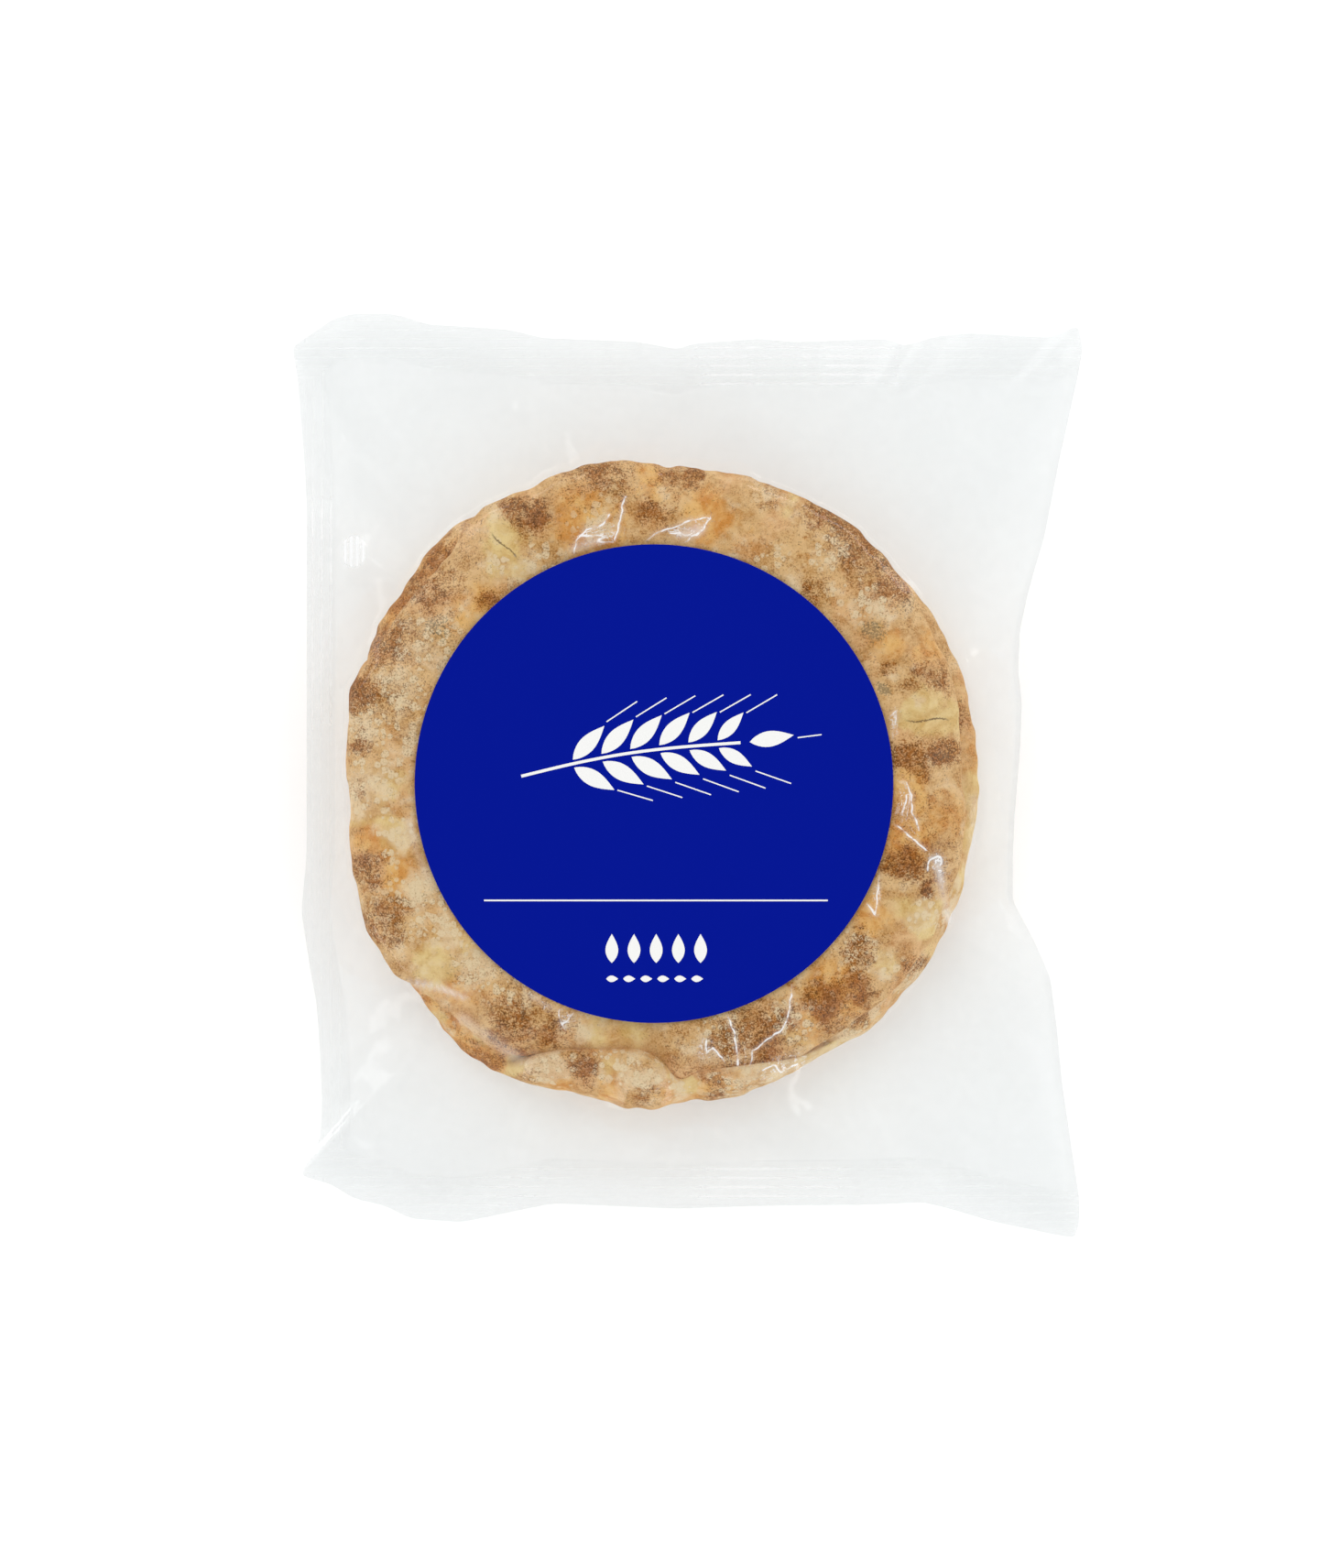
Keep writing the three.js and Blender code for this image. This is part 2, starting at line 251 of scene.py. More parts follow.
def crack_line(x, y):
    """Signed distance in mm from the nearest crack's bowed middle, and a mask that ends each crack."""
    signed, mask = np.full_like(x, 9.0), np.zeros_like(x)
    for at_x, at_y, direction, half, bow in CRACKS:
        along, across = turned(x, y, at_x, at_y, direction)
        across = across - bow * np.sin(along / 2.3)
        shown = ease(np.abs(along), half, half - 2.5) * ease(np.abs(across), 4, 2)
        signed, mask = np.where(shown > mask, across, signed), np.maximum(shown, mask)
    return signed, mask


def tongue(x, y):
    """How much of the curled rim is at a point: a rounded lip at the tongues' line, as a quarter circle,
    full beyond it, and faded out where the curl ends along the rim."""
    reach, angle = polar(x, y)
    degrees = np.degrees(angle) % 360
    inside = np.clip((reach - around(TONGUES, angle, 1.0)) / LIP, 0, 1)
    curl = ease(degrees, CURL_FROM, CURL_FROM + 6) * ease(degrees, CURL_TO, CURL_TO - 24)
    return curl * np.sqrt(1 - (1 - inside) ** 2)


class Round:
    """One baked round: heights of its two faces above any point, from its rim table and its own noise."""

    sharpness = 16  # how square the section's shoulders are

    def __init__(self, name, rim, base, seed):
        self.name, self.rim_table, self.base, self.seed = name, rim, base, seed
        self.is_upper = base > PITA_THICKNESS

    def rim(self, angle):
        """The rim's radius: its table's, and nearly half a millimetre of crumbling."""
        crumbly = 0.45 * lattice_noise(60 * np.cos(angle), 60 * np.sin(angle), 2.6, self.seed + 13)
        return around(self.rim_table, angle, 1.6) + crumbly

    def bulge(self, angle):
        """How far the rim stands out from its own average over 30 degrees: lumps +, clefts -."""
        return around(self.rim_table, angle, 1.6) - around(self.rim_table, angle, 14)

    def relief(self, x, y):
        """Top relief in mm: lumps that fade inwards, slow swells, pebbling, and the pressed folds."""
        reach, angle = polar(x, y)
        inward = np.clip(self.rim(angle) - reach, 0, None)
        lumps = 0.9 * self.bulge(angle) * np.exp(-inward / 13)
        collar = 0.7 * np.exp(-(((inward - 12) / 8) ** 2)) - 0.35
        swell = 0.55 * layered_noise(x, y, 17, self.seed) + 0.16 * layered_noise(x, y, 4.5, self.seed + 5)
        total = lumps + collar + swell
        if self.is_upper:
            for fold in FOLDS:
                total = total - fold[5] * along_fold(x, y, fold)
            drooping = np.exp(-(((np.degrees(angle) - DROOP_AT) / DROOP_WIDTH) ** 2))
            total = total - DROOP_DEPTH * drooping * np.exp(-inward / 7)
        return total

    def top(self, x, y):
        """The top face: half the section above the round's middle and the relief, and on the lower round
        the curled tongues and the thicker stretches of its rim. The film holds it down."""
        reach, angle = polar(x, y)
        share = reach / self.rim(angle)
        half = PITA_THICKNESS / 2
        body = section(self.sharpness, share)
        height = self.base + half + half * body + self.relief(x, y) * body
        if self.is_upper:
            return np.minimum(height, under_film(x, y) - UPPER_CLEARANCE)
        height = height + (CURL_RISE + 0.8 * self.bulge(angle)) * tongue(x, y) * body**0.6
        degrees = np.degrees(angle) % 360
        for start, end, rise in LIFTS:
            lifted = ease(degrees, start, start + 12) * ease(degrees, end, end - 14)
            height = height + rise * lifted * ease(reach, LIFTED_FROM, LIFTED_FULL) * body
        return np.minimum(height, under_film(x, y) - LOWER_CLEARANCE)

    def bottom(self, x, y):
        """The bottom face: half the section below the round's middle, with shallow dimples."""
        reach, angle = polar(x, y)
        half = PITA_THICKNESS / 2
        body = section(self.sharpness, reach / self.rim(angle))
        dimples = 0.5 * np.abs(layered_noise(x, y, 9, self.seed + 40)) * body
        return self.base + half - half * body + dimples


def under_film(x, y):
    """The film's level over the stack's flat middle, with a slow swell of a third of a millimetre."""
    return FILM_LEVEL + 0.35 * lattice_noise(x, y, 38, 77)


UPPER = Round("upper_pita", UPPER_RIM, UPPER_BASE, 3)
LOWER = Round("lower_pita", LOWER_RIM, LOWER_BASE, 29)

# Where the oven and the flour marked each round: x, y, size and strength. The first five are on the
# upper round, and the others on what shows of the lower one
TOASTED = [
    (-47, 72.5, 4.5, 0.8), (-41, 71, 4, 1.0), (-46, 67.5, 4, 0.8), (2, 81, 2.7, 1.3), (-25, 82, 11, 0.4),
    (-4, 83, 8, 0.4), (-10, 73, 4.5, 0.6), (26, 76, 9, 0.55), (48, 62, 10, 0.45), (57, 52, 8, 0.4),
    (34, 50.5, 3, 0.6), (64.5, 26.5, 7, 0.8), (53.5, 28.5, 3, 0.7), (69.8, 8, 4.6, 1.2), (61, 6, 6, 0.6),
    (58.5, -23.5, 4.8, 0.75), (64.2, -30.5, 2.4, 1.2), (46, -47, 6, 0.7), (61.5, -52, 4, 0.9),
    (38, -61.5, 7.5, 1.1), (46, -57, 5.5, 0.85), (24, -71, 8, 0.8), (12, -71, 8, 0.6), (-35, -70, 5, 0.7),
    (-48, -67, 8, 0.6), (-64, -53, 4, 0.9), (-82, -39, 8, 0.65), (-86, -25, 6, 0.75), (-89, -13, 3.5, 0.7),
    (-91, 8, 5, 0.8), (-90, -4, 4, 0.6), (-69, 52, 9, 0.6), (-83, 38, 8, 0.6), (-90, 24, 6, 0.6),
    (40, 74, 6, 0.7), (-54, 47, 3.5, 0.8),
]
GOLDEN = [
    (-28, 70, 11, 0.95), (-11.5, 79, 5, 0.7), (5, 69, 7, 1.0), (-21, 65, 7, 0.8), (-57, 45, 9, 0.8),
    (54.5, 36, 4.5, 0.6), (59, -4, 7, 1.0), (60, -17, 6, 0.9), (49.5, -37.5, 5.5, 1.0), (41, -59, 9, 1.0),
    (33, -66, 8, 0.8), (-87, -18, 5, 0.7), (-77, -27, 5, 0.8), (-20, -68, 9, 0.5), (70, -11, 8, 0.7),
    (66, 33, 6, 0.6), (33, 60, 7, 0.4), (-62, -58, 5, 0.6),
]
PALE = [
    (-50, 64, 7, 0.9), (-52, 56, 5, 0.8), (64, 17, 7, 1.0), (72, 15.5, 5, 0.9), (64.5, -37.8, 5.4, 1.2),
    (-70.5, -50, 6, 1.0), (-78.5, -16, 5, 0.8), (-63, -44, 5, 0.6), (28, -73, 6, 0.6), (54.5, -51, 5, 0.8),
    (-15, -69, 4, 0.8), (-80, -2, 6, 0.6), (39, 59, 5, 0.4), (50, 44, 6, 0.4), (-45, 55, 5, 0.5),
]
FLOURED = [
    (-28, 68, 8, 0.4), (24, 59, 6, 0.6), (38, 60, 7, 0.6), (48, 47, 7, 0.75), (43, 49, 6, 0.5),
    (-70, 34, 9, 0.9), (-38, 59, 6, 0.7), (-80, 6, 9, 0.7), (-87, -2, 9, 1.0), (-78, -15, 7, 1.1),
    (-71, -32, 6, 1.2), (-64, -42, 6, 1.3), (-58, -52, 6, 1.2), (-68, -40, 6, 0.8), (46, -47, 6, 0.7),
    (54, -51, 5, 0.7), (64.5, -38, 5, 1.3), (28, -65, 6, 0.8), (10, -69, 8, 0.9), (-75, 22, 9, 0.6),
    (-87, 14, 7, 0.7), (-48, 56, 6, 0.5), (-46, -57, 7, 0.7), (-30, -66, 6, 0.4), (22, 66, 7, 0.2),
]
# The spot at x 53, y 24.5 is painted glare, a grey shine where the film touches the crust; the others are
# sooty smudges
SOOT = [
    (-66.5, 41, 4.5, 1.0), (-82, 36, 4, 0.8), (51, 39.5, 4, 1.1), (53, 24.5, 2.2, 1.3), (60, 47, 4, 0.7),
    (-26, 79, 5, 0.5), (-83, 13, 4, 0.5), (70, 5, 3.5, 0.8), (20, 64, 3, 0.5), (67, 44, 3, 0.6),
    (54, 58, 3.5, 0.7), (-64, -52, 3, 0.5), (-79, -33, 3, 0.4),
]
LOWER_TOASTED = [
    (-28, -79.5, 5.6, 1.15), (-11.5, -87, 4.5, 0.5), (6, -84.5, 4.6, 0.9), (-44, -82, 5, 0.4),
    (22, -82, 5, 0.4), (46, -67, 3, 0.5), (14, -83, 4, 0.5), (-66, -63, 3, 0.6),
    (-69, 61, 8, 0.7), (-78, 49, 8, 0.75), (-58, 71, 5, 0.5), (-85, 37, 6, 0.6), (72, 17, 5, 0.6),
    (-75, -60, 5, 0.6), (63, -51, 3.5, 0.5), (-55, -77, 5, 0.5),
]
LOWER_GOLDEN = [
    (-21, -85, 4, 0.7), (-4, -86.5, 4, 0.5), (3, -85, 4, 0.7), (14, -82, 5, 0.5), (-36, -83, 5, 0.6),
    (76, -20, 9, 0.4), (78, 4, 8, 0.5), (-70, 60, 8, 0.8), (-80, 47, 8, 0.8),
    (50, -66, 8, 0.3), (-54, -77, 9, 0.9), (-73, -61, 6, 0.9), (-64, -68, 6, 0.8),
]
LOWER_PALE = [
    (78.5, -4, 6, 0.8), (77.5, -16, 6, 0.9), (75, -28, 6, 0.8), (74, 24, 6, 0.5), (-0.5, -83.5, 3.4, 1.1),
    (-3.6, -79, 3, 1.0), (-20.5, -79, 3, 0.8), (24, -80, 5, 0.5), (-68, -66, 3, 0.8), (-56, -71, 3, 1.0),
    (-47, -77, 3.5, 1.0), (77, -10, 5, 0.7), (66, -47, 4, 0.6), (-6, -77, 3, 0.9), (57, -57, 4, 0.6),
]
LOWER_FLOURED = [
    (-14, -78, 8, 1.2), (-37, -79, 7, 1.1), (24, -79, 6, 0.9), (70, -38, 5, 0.5), (13, -81, 7, 1.0),
    (-2, -82, 5, 0.8), (46, -70, 9, 1.0), (60, -55, 7, 1.0), (34, -76, 7, 0.9), (-22, -77, 7, 0.8),
]


def spots(x, y, table, raggedness, seed):
    """How strongly a table of round marks shows: bells of each mark's size, their edges pushed about by
    noise `raggedness` mm deep, the strongest one winning."""
    x = x + raggedness * layered_noise(x, y, 5, seed)
    y = y + raggedness * layered_noise(x, y, 5, seed + 3)
    shown = np.zeros_like(x)
    for at_x, at_y, size, strength in table:
        far = ((x - at_x) ** 2 + (y - at_y) ** 2) / size**2
        shown = np.maximum(shown, strength * np.exp(-(far**1.5)))
    return shown


def crust_marks(bread, x, y, is_top):
    """The crust's five marks, 0 to 1.5, at points of one face, and where its cracks run. Lumps brown on
    their tops and stay pale in the clefts between; slow noise scatters more of each mark."""
    reach, angle = polar(x, y)
    inward = np.clip(bread.rim(angle) - reach, 0, None)
    standing = bread.bulge(angle) * np.exp(-inward / 12)
    slow = layered_noise(x, y, 24, bread.seed + 60)
    other = layered_noise(x, y, 19, bread.seed + 71)
    marks = {
        "toasted": 0.30 + 0.45 * slow + 0.22 * standing,
        "golden": 0.25 + 0.6 * other,
        "pale": 0.12 - 0.35 * standing - 0.2 * slow,
        "floured": 0.2 + 0.6 * layered_noise(x, y, 15, bread.seed + 83),
        "soot": 0.5 * layered_noise(x, y, 14, bread.seed + 95) - 0.25,
    }
    if is_top and bread.is_upper:
        named = (TOASTED, GOLDEN, PALE, FLOURED, SOOT)
    elif is_top:
        named = (LOWER_TOASTED, LOWER_GOLDEN, LOWER_PALE, LOWER_FLOURED, [])
    else:
        named = ([], [], [], [], [])
    for k, (mark, table) in enumerate(zip(marks, named)):
        scattered = np.maximum(marks[mark], 0) * (0.6 if table else 1.0)
        marks[mark] = scattered + spots(x, y, table, 2.2, bread.seed + 7 * k)
    if is_top and bread.is_upper:
        folded = sum(along_fold(x, y, fold) for fold in FOLDS)
        marks["pale"] = marks["pale"] + 0.6 * folded
        marks["toasted"] = marks["toasted"] * (1 - 0.7 * np.clip(folded, 0, 1))
    marks["toasted"] = marks["toasted"] * (1 - 0.6 * np.clip(marks["pale"], 0, 1))
    if not bread.is_upper:
        lip = tongue(x, y)
        marks["toasted"] = marks["toasted"] - 0.18 * lip
        marks["pale"] = marks["pale"] + 0.9 * ease(lip, 0.05, 0.2) * ease(lip, 0.85, 0.5)
    marks = {mark: np.clip(values, 0, 1.5) for mark, values in marks.items()}
    marks["crack_across"], marks["cracked"] = crack_line(x, y)
    if not (bread.is_upper and is_top):
        marks["cracked"] = np.zeros_like(x)
    return marks


def bread_piece(bread, sides=620, rings=152):
    """A round as one closed skin. Points run along the section from the middle of the base around the
    rim to the middle of the top, four times closer together around the label than under it. The base's
    marks come from noise 400 mm away, so that they don't repeat the top's."""
    turn = np.linspace(-np.pi / 2, np.pi / 2, 20001)
    share = np.cos(turn) ** (2 / bread.sharpness)
    height = np.sign(turn) * section(bread.sharpness, share)
    step = np.hypot(np.diff(share) * 85, np.diff(height) * PITA_THICKNESS / 2)
    pace = step * (0.35 + ease(share[1:], 0.45, 0.72))
    length = np.concatenate([[0], np.cumsum(pace)])
    places = np.interp(np.linspace(0.002, 0.998, rings) * length[-1], length, turn)
    share = (np.cos(places) ** (2 / bread.sharpness))[:, None]
    angle = (np.arange(sides) * 2 * np.pi / sides)[None]
    reach = share * bread.rim(angle)
    x, y = STACK_X + reach * np.cos(angle), STACK_Y + reach * np.sin(angle)
    is_top = np.broadcast_to((places > 0)[:, None], x.shape)
    z = np.where(is_top, bread.top(x, y), bread.bottom(x, y))
    over, under = crust_marks(bread, x, y, True), crust_marks(bread, x + 400, y, False)
    marks = {mark: np.where(is_top, over[mark], under[mark]) for mark in over}
    return rings_piece(bread.name, np.stack([x, y, z], -1), marks, flip=True, top=True)


# ----------------------------------------------------------------------------------------- film
# Crisp creases around the label, each a line of points on the front web. They are ridges this high, with
# this half width
CREASE_HEIGHT, CREASE_HALF_WIDTH = 0.4, 0.85
# The film's material also paints bright highlight lines along these creases
CREASES = [
    [(-30.8, 59.4), (-30.0, 63.8), (-27.5, 66.8), (-23.8, 67.5), (-21.3, 70.8)],
    [(-16.8, 75.6), (-18.0, 71.5), (-18.5, 67.9), (-19.8, 63.8)],
    [(-29.0, 65.3), (-22.0, 64.9), (-24.5, 63.5), (-20.2, 63.1)],
    [(-11.4, 63.5), (-8.4, 65.7), (-3.3, 67.5), (1.9, 69.5), (6.0, 69.9)],
    [(6.0, 69.9), (4.4, 67.1), (2.2, 65.3), (-1.1, 63.1), (-5.5, 62.7)],
    [(-4.4, 65.7), (0.4, 65.3)],
    [(54.1, 15.6), (56.4, 17.7), (56.3, 13.3), (55.0, 10.3)],
    [(55.8, -0.3), (58.8, -1.8), (60.7, -5.1), (60.7, -9.8), (62.6, -14.2)],
    [(55.3, -12.4), (59.4, -15.7), (64.4, -19.8)],
    [(57.0, -7.4), (56.4, -10.4)],
    [(59.4, -5.1), (57.9, -10.1)],
    [(52.0, -25.1), (51.4, -31.0), (50.8, -37.8), (48.2, -33.7)],
    [(65.0, -25.1), (65.6, -22.8), (68.2, -21.6), (68.9, -24.0)],
    [(28.3, -56.3), (27.3, -64.9), (25.5, -68.5), (19.7, -72.8), (17.6, -74.2), (17.2, -78.1)],
    [(10.7, -64.9), (12.5, -68.5), (13.3, -73.5), (13.8, -78.1)],
    [(5.0, -71.3), (5.0, -74.9), (6.8, -73.4), (9.7, -77.1)],
    [(20.5, -79.5), (23.5, -78.2), (25.5, -80.2), (29.8, -78.0)],
    [(-34.8, -63.4), (-34.1, -67.0), (-32.3, -65.6), (-30.5, -63.4)],
]

# Small patches of painted glints, drawn as white threads, on the front web over the bread: x, y, half sizes
# and direction in degrees
PAINTED_GLINT_PATCHES = [
    (-33, -65, 2.4, 3.4, 0), (4.8, -73, 1.8, 3.2, -15), (26, -78.5, 7, 2.6, 22), (-39.5, -60.5, 4, 1.6, -38),
    (-23, 65, 5, 3.2, 20), (0.5, 67.5, 5.5, 2.0, 18), (-45, 48, 3, 2, 40), (58.5, -7, 1.8, 6, 10),
    (68, -24, 2.4, 5, 20), (51, -31, 1.2, 6, 5), (55.5, 14, 1.4, 4, 0),
]

# Soft pale streaks of painted sheen where the film is stretched over the bread: lines of points, half width,
# strength
PAINTED_SHEEN_STREAKS = [
    ([(-75.5, -55.7), (-68, -57), (-60.5, -60)], 0.8, 0.24),
    ([(-61, -66), (-52, -72), (-44, -78)], 1.6, 0.13),
    ([(67.5, -22), (69, -30), (70.8, -39)], 1.0, 0.34),
    ([(-74.2, -12), (-72.4, -20), (-69, -27)], 1.5, 0.3),
    ([(77.5, -6), (77.8, -14), (76, -26)], 1.2, 0.2),
    ([(-42, -58.8), (-37, -62)], 1.1, 0.4),
    ([(-30, 60.5), (-25, 63.5)], 2.2, 0.22),
    ([(-2, 65.2), (3, 66.8)], 1.6, 0.2),
]

# A small barred painted highlight on the film near the side seal: its middle, the radius of its round
# ends, half the straight between them and the pitch of its bars
PAINTED_GLINT_X, PAINTED_GLINT_Y, PAINTED_GLINT_RADIUS, PAINTED_GLINT_STRAIGHT, PAINTED_GLINT_BAR_PITCH = -91.1, 61.4, 3.7, 0.9, 1.7

# The front web stays this far above each round, and the back web this far below, but for a strip inside
# the rims where a web leaves the bread
ABOVE_UPPER, ABOVE_LOWER, BELOW_LOWER, LEAVING = 0.2, 0.5, 0.15, 1.4
# Half the gap between the welded webs, and the height of the ribs that the jaws press into them
WELD_GAP, RIB_HEIGHT = 0.05, 0.015
# Where the seal ribs stand deepest and their crowns are painted with highlights: along the end seals in x,
# to a different end at the top and the bottom, and up the side seal in y
RIB_GLINT_LEFT, RIB_GLINT_RIGHT_TOP, RIB_GLINT_RIGHT_BOTTOM = 1, 58, 46
RIB_GLINT_FOOT, RIB_GLINT_HEAD = 8, 78
# A web is fixed inside the first radius as it is draped. Its bands of rings begin at the others: in the
# middle, inside the label's edge and past the creases
HELD, MIDDLE, LABEL_BAND, CREASE_BAND = 40, 3.0, 59.0, 77.0
WEB_SIDES, FRONT_RINGS, BACK_RINGS, DRAPING_PASSES = 800, (3, 38, 14, 22, 36), (3, 12, 12, 18, 24), 260


def painted_sheen(x, y):
    """Painted sheen along the streaks, added to the film's haze: a bell across each."""
    shown = np.zeros_like(x)
    for line, half, strength in PAINTED_SHEEN_STREAKS:
        for gap, _, _ in beside(x, y, line):
            shown = np.maximum(shown, strength * np.exp(-((gap / half) ** 2)))
    return shown


def creases(x, y):
    """Signed distance in mm from the nearest crease, wavering by a third of a millimetre, and a mask
    that is 1 along each crease and ends where it ends."""
    x = x + 0.3 * lattice_noise(x, y, 1.7, 201)
    y = y + 0.3 * lattice_noise(x, y, 1.7, 202)
    signed, mask = np.full_like(x, 9.0), np.zeros_like(x)
    for line in CREASES:
        for gap, across, beyond in beside(x, y, line):
            nearer = gap < np.abs(signed)
            signed = np.where(nearer, np.where(across < 0, -gap, gap), signed)
            mask = np.where(nearer, ease(beyond, 0.7, 0.1) * ease(gap, 2.4, 1.6), mask)
    return signed, mask


def crumpled(x, y):
    """A mask of the small patches of painted glints: a bell across each."""
    shown = np.zeros_like(x)
    for at_x, at_y, half_x, half_y, direction in PAINTED_GLINT_PATCHES:
        along, across = turned(x, y, at_x, at_y, direction)
        shown = np.maximum(shown, np.exp(-(((along / half_x) ** 2 + (across / half_y) ** 2) ** 1.5)))
    return shown


class Outline:
    """The pouch's edge: its reach and height in any direction, and how far a point is in from it."""

    def __init__(self):
        corners = np.array(FOLD_SIDE + TOP_SIDE + SEALED_SIDE + BOTTOM_SIDE, float)
        closed = np.concatenate([corners, corners[:1]])
        gone = np.concatenate([[0], np.cumsum(np.hypot(*np.diff(closed[:, :2], axis=0).T))])
        steps = np.arange(0, gone[-1], 0.5)
        x, y, z = (softened(np.interp(steps, gone, column), steps, gone[-1], 1.6) for column in closed.T)
        reach, angle = polar(x, y)
        order = np.argsort(angle)
        self.angles, self.reaches, self.heights = angle[order], reach[order], z[order]
        self.top = np.array(SEALED_SIDE[:1] + TOP_SIDE[::-1] + FOLD_SIDE[-1:])
        self.bottom = np.array(BOTTOM_SIDE + FOLD_SIDE[:1])
        self.left = np.array(BOTTOM_SIDE[:1] + SEALED_SIDE[::-1])

    def reach(self, angle):
        """The edge's distance from the middle of the stack."""
        return np.interp(angle, self.angles, self.reaches, period=2 * np.pi)

    def height(self, angle):
        """The edge's height above the table."""
        return np.interp(angle, self.angles, self.heights, period=2 * np.pi)

    def in_from_ends(self, x, y):
        """Distance in from the top or the bottom edge, whichever is nearer."""
        above = np.interp(x, self.top[:, 0], self.top[:, 1]) - y
        below = y - np.interp(x, self.bottom[:, 0], self.bottom[:, 1])
        return np.minimum(above, below)

    def in_from_side(self, x, y):
        """Distance in from the sealed left edge."""
        return x - np.interp(y, self.left[:, 1], self.left[:, 0])

    def seal_reach(self, angle):
        """Where a ray from the middle meets the seals' inner line, or nearly the edge at the fold."""
        share = np.linspace(0.6, 0.985, 500)[:, None]
        r = share * self.reach(angle)[None]
        x, y = STACK_X + r * np.cos(angle), STACK_Y + r * np.sin(angle)
        sealed = (self.in_from_ends(x, y) < END_SEAL) | (self.in_from_side(x, y) < SIDE_SEAL)
        first = np.where(sealed.any(0), sealed.argmax(0), len(share) - 1)
        return share[first, 0] * self.reach(angle)


OUTLINE = Outline()
# The stretches of directions, in degrees, where the creases around the label lie
CREASED_STRETCHES = [
    (76, 114), (-34, 17), (278, 306), (243, 251), (45, 49), (309, 314), (128, 132), (140, 147), (226, 230),
]


def packed_angles(count):
    """Ray directions, 3.6 times closer together where the creases around the label lie."""
    fine = np.linspace(0, 2 * np.pi, 7201)
    degrees = np.degrees(fine)
    dense = np.zeros_like(fine)
    for low, high in CREASED_STRETCHES:
        away = np.abs((degrees - (low + high) / 2 + 180) % 360 - 180) - (high - low) / 2
        dense = np.maximum(dense, 1 - ease(away, 0, 3))
    pace = np.concatenate([[0], np.cumsum(1 + 2.6 * dense[1:])])
    return np.interp(np.linspace(0, pace[-1], count, endpoint=False), pace, fine)


def web_grid(angle, counts):
    """Rings for a web: out to the label's edge, past the creases around it, on to past the bread's rims,
    across the free film to the seals, and over the seals to the edge, with so many rings in each band.
    Returns each point's distance from the middle, its x and y, and each band's first ring."""
    rim = np.maximum(UPPER.rim(angle), LOWER.rim(angle)) + 1.2
    seal = np.maximum(OUTLINE.seal_reach(angle), rim + 0.8)
    edge = np.maximum(OUTLINE.reach(angle), seal + 0.5)
    stops = [np.full_like(angle, start) for start in (MIDDLE, LABEL_BAND, CREASE_BAND)] + [rim, seal, edge]
    bands = []
    for low, high, count in zip(stops, stops[1:], counts):
        share = np.arange(count) / count
        bands.append(low + (high - low) * share[:, None])
    reach = np.concatenate(bands + [edge[None]])
    x, y = STACK_X + reach * np.cos(angle), STACK_Y + reach * np.sin(angle)
    return reach, x, y, np.cumsum([0, *counts])


def draped(z, limit, fixed, way):
    """Stretches a web over what it touches: each pass moves every free point four fifths of the way to the
    mean of its four neighbours, in which the two along its ray weigh most, and never past `limit`. Its
    way is 1 for film lying over, and -1 for film held up from below."""
    for _ in range(DRAPING_PASSES):
        mean = 0.35 * (np.roll(z, 1, 0) + np.roll(z, -1, 0)) + 0.15 * (np.roll(z, 1, 1) + np.roll(z, -1, 1))
        moved = 0.2 * z + 0.8 * mean
        moved = np.maximum(moved, limit) if way > 0 else np.minimum(moved, limit)
        z = np.where(fixed, z, moved)
    return z


def seal_level(x, y, angle):
    """Height of the welded webs, and how strong their ribs are there across the ends and down the side,
    which also sets how strongly their crowns are painted with highlights. The height is the edge's own, a
    slow
    ripple, and straight ribs: cosines of y in the end seals and of x in the side seal."""
    ends, side = OUTLINE.in_from_ends(x, y), OUTLINE.in_from_side(x, y)
    right = np.where(y > 0, RIB_GLINT_RIGHT_TOP, RIB_GLINT_RIGHT_BOTTOM)
    rib_and_glint_strength = 0.2 + 0.8 * ease(x, RIB_GLINT_LEFT, RIB_GLINT_LEFT + 6) * ease(x, right, right - 6)
    across = rib_and_glint_strength * ease(ends, END_SEAL, END_SEAL - 1) * ease(ends, 0.6, 1.6)
    rib_and_glint_strength = 0.2 + 0.8 * ease(y, RIB_GLINT_FOOT, RIB_GLINT_FOOT + 10) * ease(y, RIB_GLINT_HEAD, RIB_GLINT_HEAD - 8)
    down = rib_and_glint_strength * ease(side, SIDE_SEAL, SIDE_SEAL - 1) * ease(side, 0.6, 1.6) * (across < 0.1)
    waves = across * np.cos(2 * np.pi * y / RIB_PITCH) + down * np.cos(2 * np.pi * x / RIB_PITCH)
    ripple = 0.35 * layered_noise(x, y, 11, 301)
    return np.maximum(OUTLINE.height(angle) + ripple, 0.5) + RIB_HEIGHT * waves, across, down


